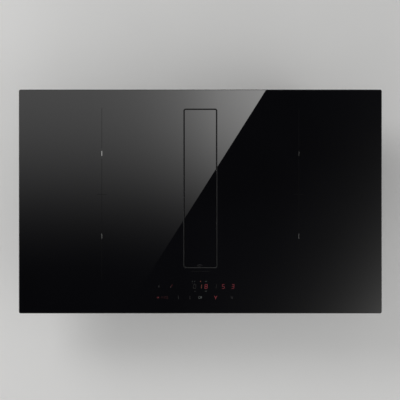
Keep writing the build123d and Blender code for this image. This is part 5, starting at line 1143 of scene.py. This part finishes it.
class COOKTOP_OT_gland(bpy.types.Operator):
    """Stand a ribbed cable gland in for the frame's plain one"""

    bl_idname = "cooktop.gland"
    bl_label = "Cable gland"

    # Name, radius, height, middle above the tray's floor, number of sides and rounding.
    DRUMS = (
        ("body", 13 * MM, 4.5 * MM, -2.25 * MM, 6, 0.6 * MM),
        ("cap", 11.2 * MM, 5.5 * MM, -7.25 * MM, 36, 0.35 * MM),
        ("neck", 10 * MM, 9 * MM, 4.5 * MM, 40, 0.4 * MM),
    )
    BORE_RADIUS = 7.0 * MM
    GRIP_PITCH = 20

    def execute(self, context):
        low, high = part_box("cable_gland")
        x, y = (low.x + high.x) / 2, (low.y + high.y) / 2

        def in_groove(face):
            middle = face.calc_center_median()
            bearing = math.degrees(math.atan2(middle.y - y, middle.x - x))
            return abs(face.normal.z) < 0.5 and bearing % self.GRIP_PITCH < self.GRIP_PITCH / 2

        pieces = []
        for name, radius, height, middle, sides, rounding in self.DRUMS:
            piece = drum(name, radius, height, (x, y, TRAY_FLOOR + middle), sides)
            if name == "cap":
                pick(piece, "FACE", in_groove)
                bpy.ops.mesh.inset(thickness=0.25 * MM, depth=0.5 * MM, use_individual=True)
                leave_edit()
            pieces.append(soften(piece, rounding))
        cutter = drum("cutter", self.BORE_RADIUS, 40 * MM, (x, y, TRAY_FLOOR), 40)
        for piece in pieces:
            cut(piece, cutter)
        discard(cutter)
        gland = finish_piece(joined("ribbed_gland", pieces), "fan_plastic", "housing")
        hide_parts("cable_gland")
        return {"FINISHED"}


class COOKTOP_OT_filter_mesh(bpy.types.Operator):
    """Line the filter basket with expanded metal"""

    bl_idname = "cooktop.filter_mesh"
    bl_label = "Filter mesh"

    CELL_LENGTH = 9.0 * MM
    CELL_HEIGHT = 5.0 * MM
    STRAND = 0.7 * MM
    SHEET = 0.5 * MM
    SIDE_HEIGHT = 52 * MM
    SIDE_X, SIDE_Z = 29.6 * MM, -0.0800
    SIDE_LEAN = math.radians(2)
    SIDE_GAP = 8 * MM
    FLOOR_WIDTH = 50 * MM
    FLOOR_RISE = 1.6 * MM
    FLOOR_GAP = 10 * MM

    def execute(self, context):
        basket_low, basket_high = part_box("filter_basket")
        middle_y = (basket_low.y + basket_high.y) / 2
        length = basket_high.y - basket_low.y
        quarter = math.radians(90)
        panels = []
        for side in (-1, 1):
            panel = self.panel(length - 2 * self.SIDE_GAP, self.SIDE_HEIGHT)
            settle(panel, turn=(quarter, 0, quarter))
            place = (side * self.SIDE_X, middle_y, self.SIDE_Z)
            panels.append(settle(panel, place, (0, side * self.SIDE_LEAN, 0)))
        floor_panel = self.panel(length - 2 * self.FLOOR_GAP, self.FLOOR_WIDTH)
        place = (0, middle_y, basket_low.z + self.FLOOR_RISE)
        panels.append(settle(floor_panel, place, (0, 0, quarter)))
        finish_piece(joined("filter_lining", panels), "stainless_mesh", "cassette", smooth=False)
        return {"FINISHED"}

    def panel(self, length, height):
        """A flat panel of diamond cells, lying, with its length along X."""
        half_length, half_height = self.CELL_LENGTH / 2, self.CELL_HEIGHT / 2
        cell = disc("cell", 4, 1, stretch=(half_length, half_height))
        thicken(open_middle(cell, self.STRAND / 2), self.SHEET)
        across = int(length / self.CELL_LENGTH)
        up = int(height / self.CELL_HEIGHT)
        panel = joined("cells", [cell, copy_to(cell, (half_length, half_height, 0))])
        repeat(panel, across, (self.CELL_LENGTH, 0, 0))
        repeat(panel, up, (0, self.CELL_HEIGHT, 0))
        return settle(panel, (-(across - 0.5) * half_length, -(up - 0.5) * half_height, 0))


class COOKTOP_OT_air_box_ribs(bpy.types.Operator):
    """Stiffen the air box's walls and floors with moulded ribs"""

    bl_idname = "cooktop.air_box_ribs"
    bl_label = "Air box ribs"

    FLANGE = 9.0 * MM
    THICK = 1.6 * MM
    PROUD = 1.8 * MM
    SUNK = 0.6 * MM
    RIM_HEIGHT = 0.1530
    # How many ribs, place of the first and pitch. On the left wall and the floor, the place is from the front.
    LEFT = (7, 50 * MM, 46 * MM)
    RIGHT = (5, -30 * MM, 50 * MM)
    FRONT = (4, -66 * MM, 44 * MM)
    REAR = (3, -66 * MM, 44 * MM)
    FLOOR = (8, 30 * MM, 44 * MM)
    BELT_DROP = 6 * MM
    STRIP_RIGHT = -64 * MM
    EDGE_RADIUS = 0.5 * MM

    def execute(self, context):
        low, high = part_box("air_box_tub")
        left, right = low.x + self.FLANGE, high.x - self.FLANGE
        front, rear = low.y + self.FLANGE, high.y - self.FLANGE
        # The span of a rib across each wall: it stands proud of the wall and is sunk a little into it.
        on_left, on_right = (left - self.PROUD, left + self.SUNK), (right - self.SUNK, right + self.PROUD)
        on_front, on_rear = (front - self.PROUD, front + self.SUNK), (rear - self.SUNK, rear + self.PROUD)
        rim = low.z + self.RIM_HEIGHT
        over_plenum = (PLENUM_FLOOR + 3 * MM, rim)
        over_floor = (low.z + 4 * MM, rim)
        spans = [(on_left, y, over_plenum) for y in self.row(self.LEFT, front)]
        spans += [(on_right, y, over_floor) for y in self.row(self.RIGHT)]
        spans += [(x, on_front, over_plenum) for x in self.row(self.FRONT)]
        spans += [(x, on_rear, over_plenum) for x in self.row(self.REAR)]
        # A belt along both side walls, just under the rim.
        belt = (rim - self.BELT_DROP, rim - self.BELT_DROP + self.THICK)
        spans.append((on_left, (front + 24 * MM, rear - 6 * MM), belt))
        spans.append((on_right, (-40 * MM, rear - 6 * MM), belt))
        # Ribs across the free strip of the plenum's floor.
        strip = (left + 6 * MM, self.STRIP_RIGHT)
        under_floor = (PLENUM_FLOOR - 3 * MM, PLENUM_FLOOR + self.SUNK)
        spans += [(strip, y, under_floor) for y in self.row(self.FLOOR, front)]
        ribs = [soften(box("rib", *zip(*span)), self.EDGE_RADIUS) for span in spans]
        finish_piece(joined("air_box_ribs", ribs), "black_polypropylene", "housing")
        return {"FINISHED"}

    def row(self, ribs, start=0.0):
        """Where each rib of a row begins and ends along its wall."""
        count, first, pitch = ribs
        middles = [start + first + pitch * step for step in range(count)]
        return [(middle - self.THICK / 2, middle + self.THICK / 2) for middle in middles]


class COOKTOP_OT_coils(bpy.types.Operator):
    """Wind the induction coils turn by turn"""

    bl_idname = "cooktop.coils"
    bl_label = "Coils"

    TURNS = 15
    STRAND = 2.3 * MM
    EYE = 24 * MM
    # The eye is round. From this far outside it, the corners tighten by this share towards the outermost turn.
    EYE_MARGIN = 2 * MM
    TIGHTENING = 0.4

    def execute(self, context):
        boxes = solid_boxes("coil_windings")
        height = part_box("coil_windings")[1].z - self.STRAND
        low, high = boxes[0]
        half_x, half_y = (high.x - low.x) / 2, (high.y - low.y) / 2
        turns = []
        for index in range(self.TURNS):
            part = (index + 0.5) / self.TURNS
            x = self.EYE + (half_x - self.EYE) * part
            y = self.EYE + (half_y - self.EYE) * part
            corner = min(x, y) - (min(x, y) - self.EYE - self.EYE_MARGIN) * self.TIGHTENING * part
            turns.append(self.turn(x - self.STRAND / 2, y - self.STRAND / 2, corner, height))
        coil = joined("coil", turns)
        coils = []
        for low, high in boxes:
            middle = (low + high) / 2
            coils.append(copy_to(coil, (middle.x, middle.y, 0)))
        discard(coil)
        piece = finish_piece(joined("wound_coils", coils), "litz_windings", "housing")
        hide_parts("coil_windings")
        return {"FINISHED"}

    def turn(self, half_x, half_y, corner, height):
        """One rounded turn of litz, as a round strand along a rounded rectangle."""
        turn = sheet("turn", (0, 0), 2 * half_x, 2 * half_y, height)
        bevel_corners(turn, min(corner, half_x * 0.98, half_y * 0.98), 9)
        pick(turn, "FACE")
        bpy.ops.mesh.delete(type="ONLY_FACE")
        leave_edit()
        bpy.ops.object.convert(target="CURVE")
        turn.data.bevel_depth = self.STRAND
        turn.data.bevel_resolution = 1
        bpy.ops.object.convert(target="MESH")
        return bpy.context.active_object


class COOKTOP_PT_sidebar(bpy.types.Panel):
    """The cooktop's steps and settings"""

    bl_label = "Cooktop"
    bl_idname = "COOKTOP_PT_sidebar"
    bl_space_type = "VIEW_3D"
    bl_region_type = "UI"
    bl_category = "Cooktop"

    def draw(self, context):
        for group_name in SETTINGS:
            group = getattr(context.scene, group_name)
            column = self.layout.column(align=True)
            for name in group.bl_rna.properties.keys():
                if name not in ("rna_type", "name"):
                    column.prop(group, name)
        for operator in OPERATORS:
            self.layout.operator(operator.bl_idname)


SETTINGS = {
    "cooktop_marks": MarkSettings,
    "cooktop_controls": ControlSettings,
    "cooktop_finishes": FinishSettings,
    "cooktop_stage": StageSettings,
}
OPERATORS = (
    COOKTOP_OT_finishes,
    COOKTOP_OT_stage,
    COOKTOP_OT_zone_marks,
    COOKTOP_OT_controls,
    COOKTOP_OT_flap_mark,
    COOKTOP_OT_screws,
    COOKTOP_OT_rivets,
    COOKTOP_OT_gland,
    COOKTOP_OT_filter_mesh,
    COOKTOP_OT_air_box_ribs,
    COOKTOP_OT_coils,
)


def register():
    for name, settings in SETTINGS.items():
        bpy.utils.register_class(settings)
        setattr(bpy.types.Scene, name, bpy.props.PointerProperty(type=settings))
    for operator in OPERATORS:
        bpy.utils.register_class(operator)
    bpy.utils.register_class(COOKTOP_PT_sidebar)


def unregister():
    bpy.utils.unregister_class(COOKTOP_PT_sidebar)
    for operator in reversed(OPERATORS):
        bpy.utils.unregister_class(operator)
    for name, settings in SETTINGS.items():
        delattr(bpy.types.Scene, name)
        bpy.utils.unregister_class(settings)


def main():
    register()
    for operator in OPERATORS:
        group, name = operator.bl_idname.split(".")
        getattr(getattr(bpy.ops, group), name)()


if __name__ == "__main__":
    main()
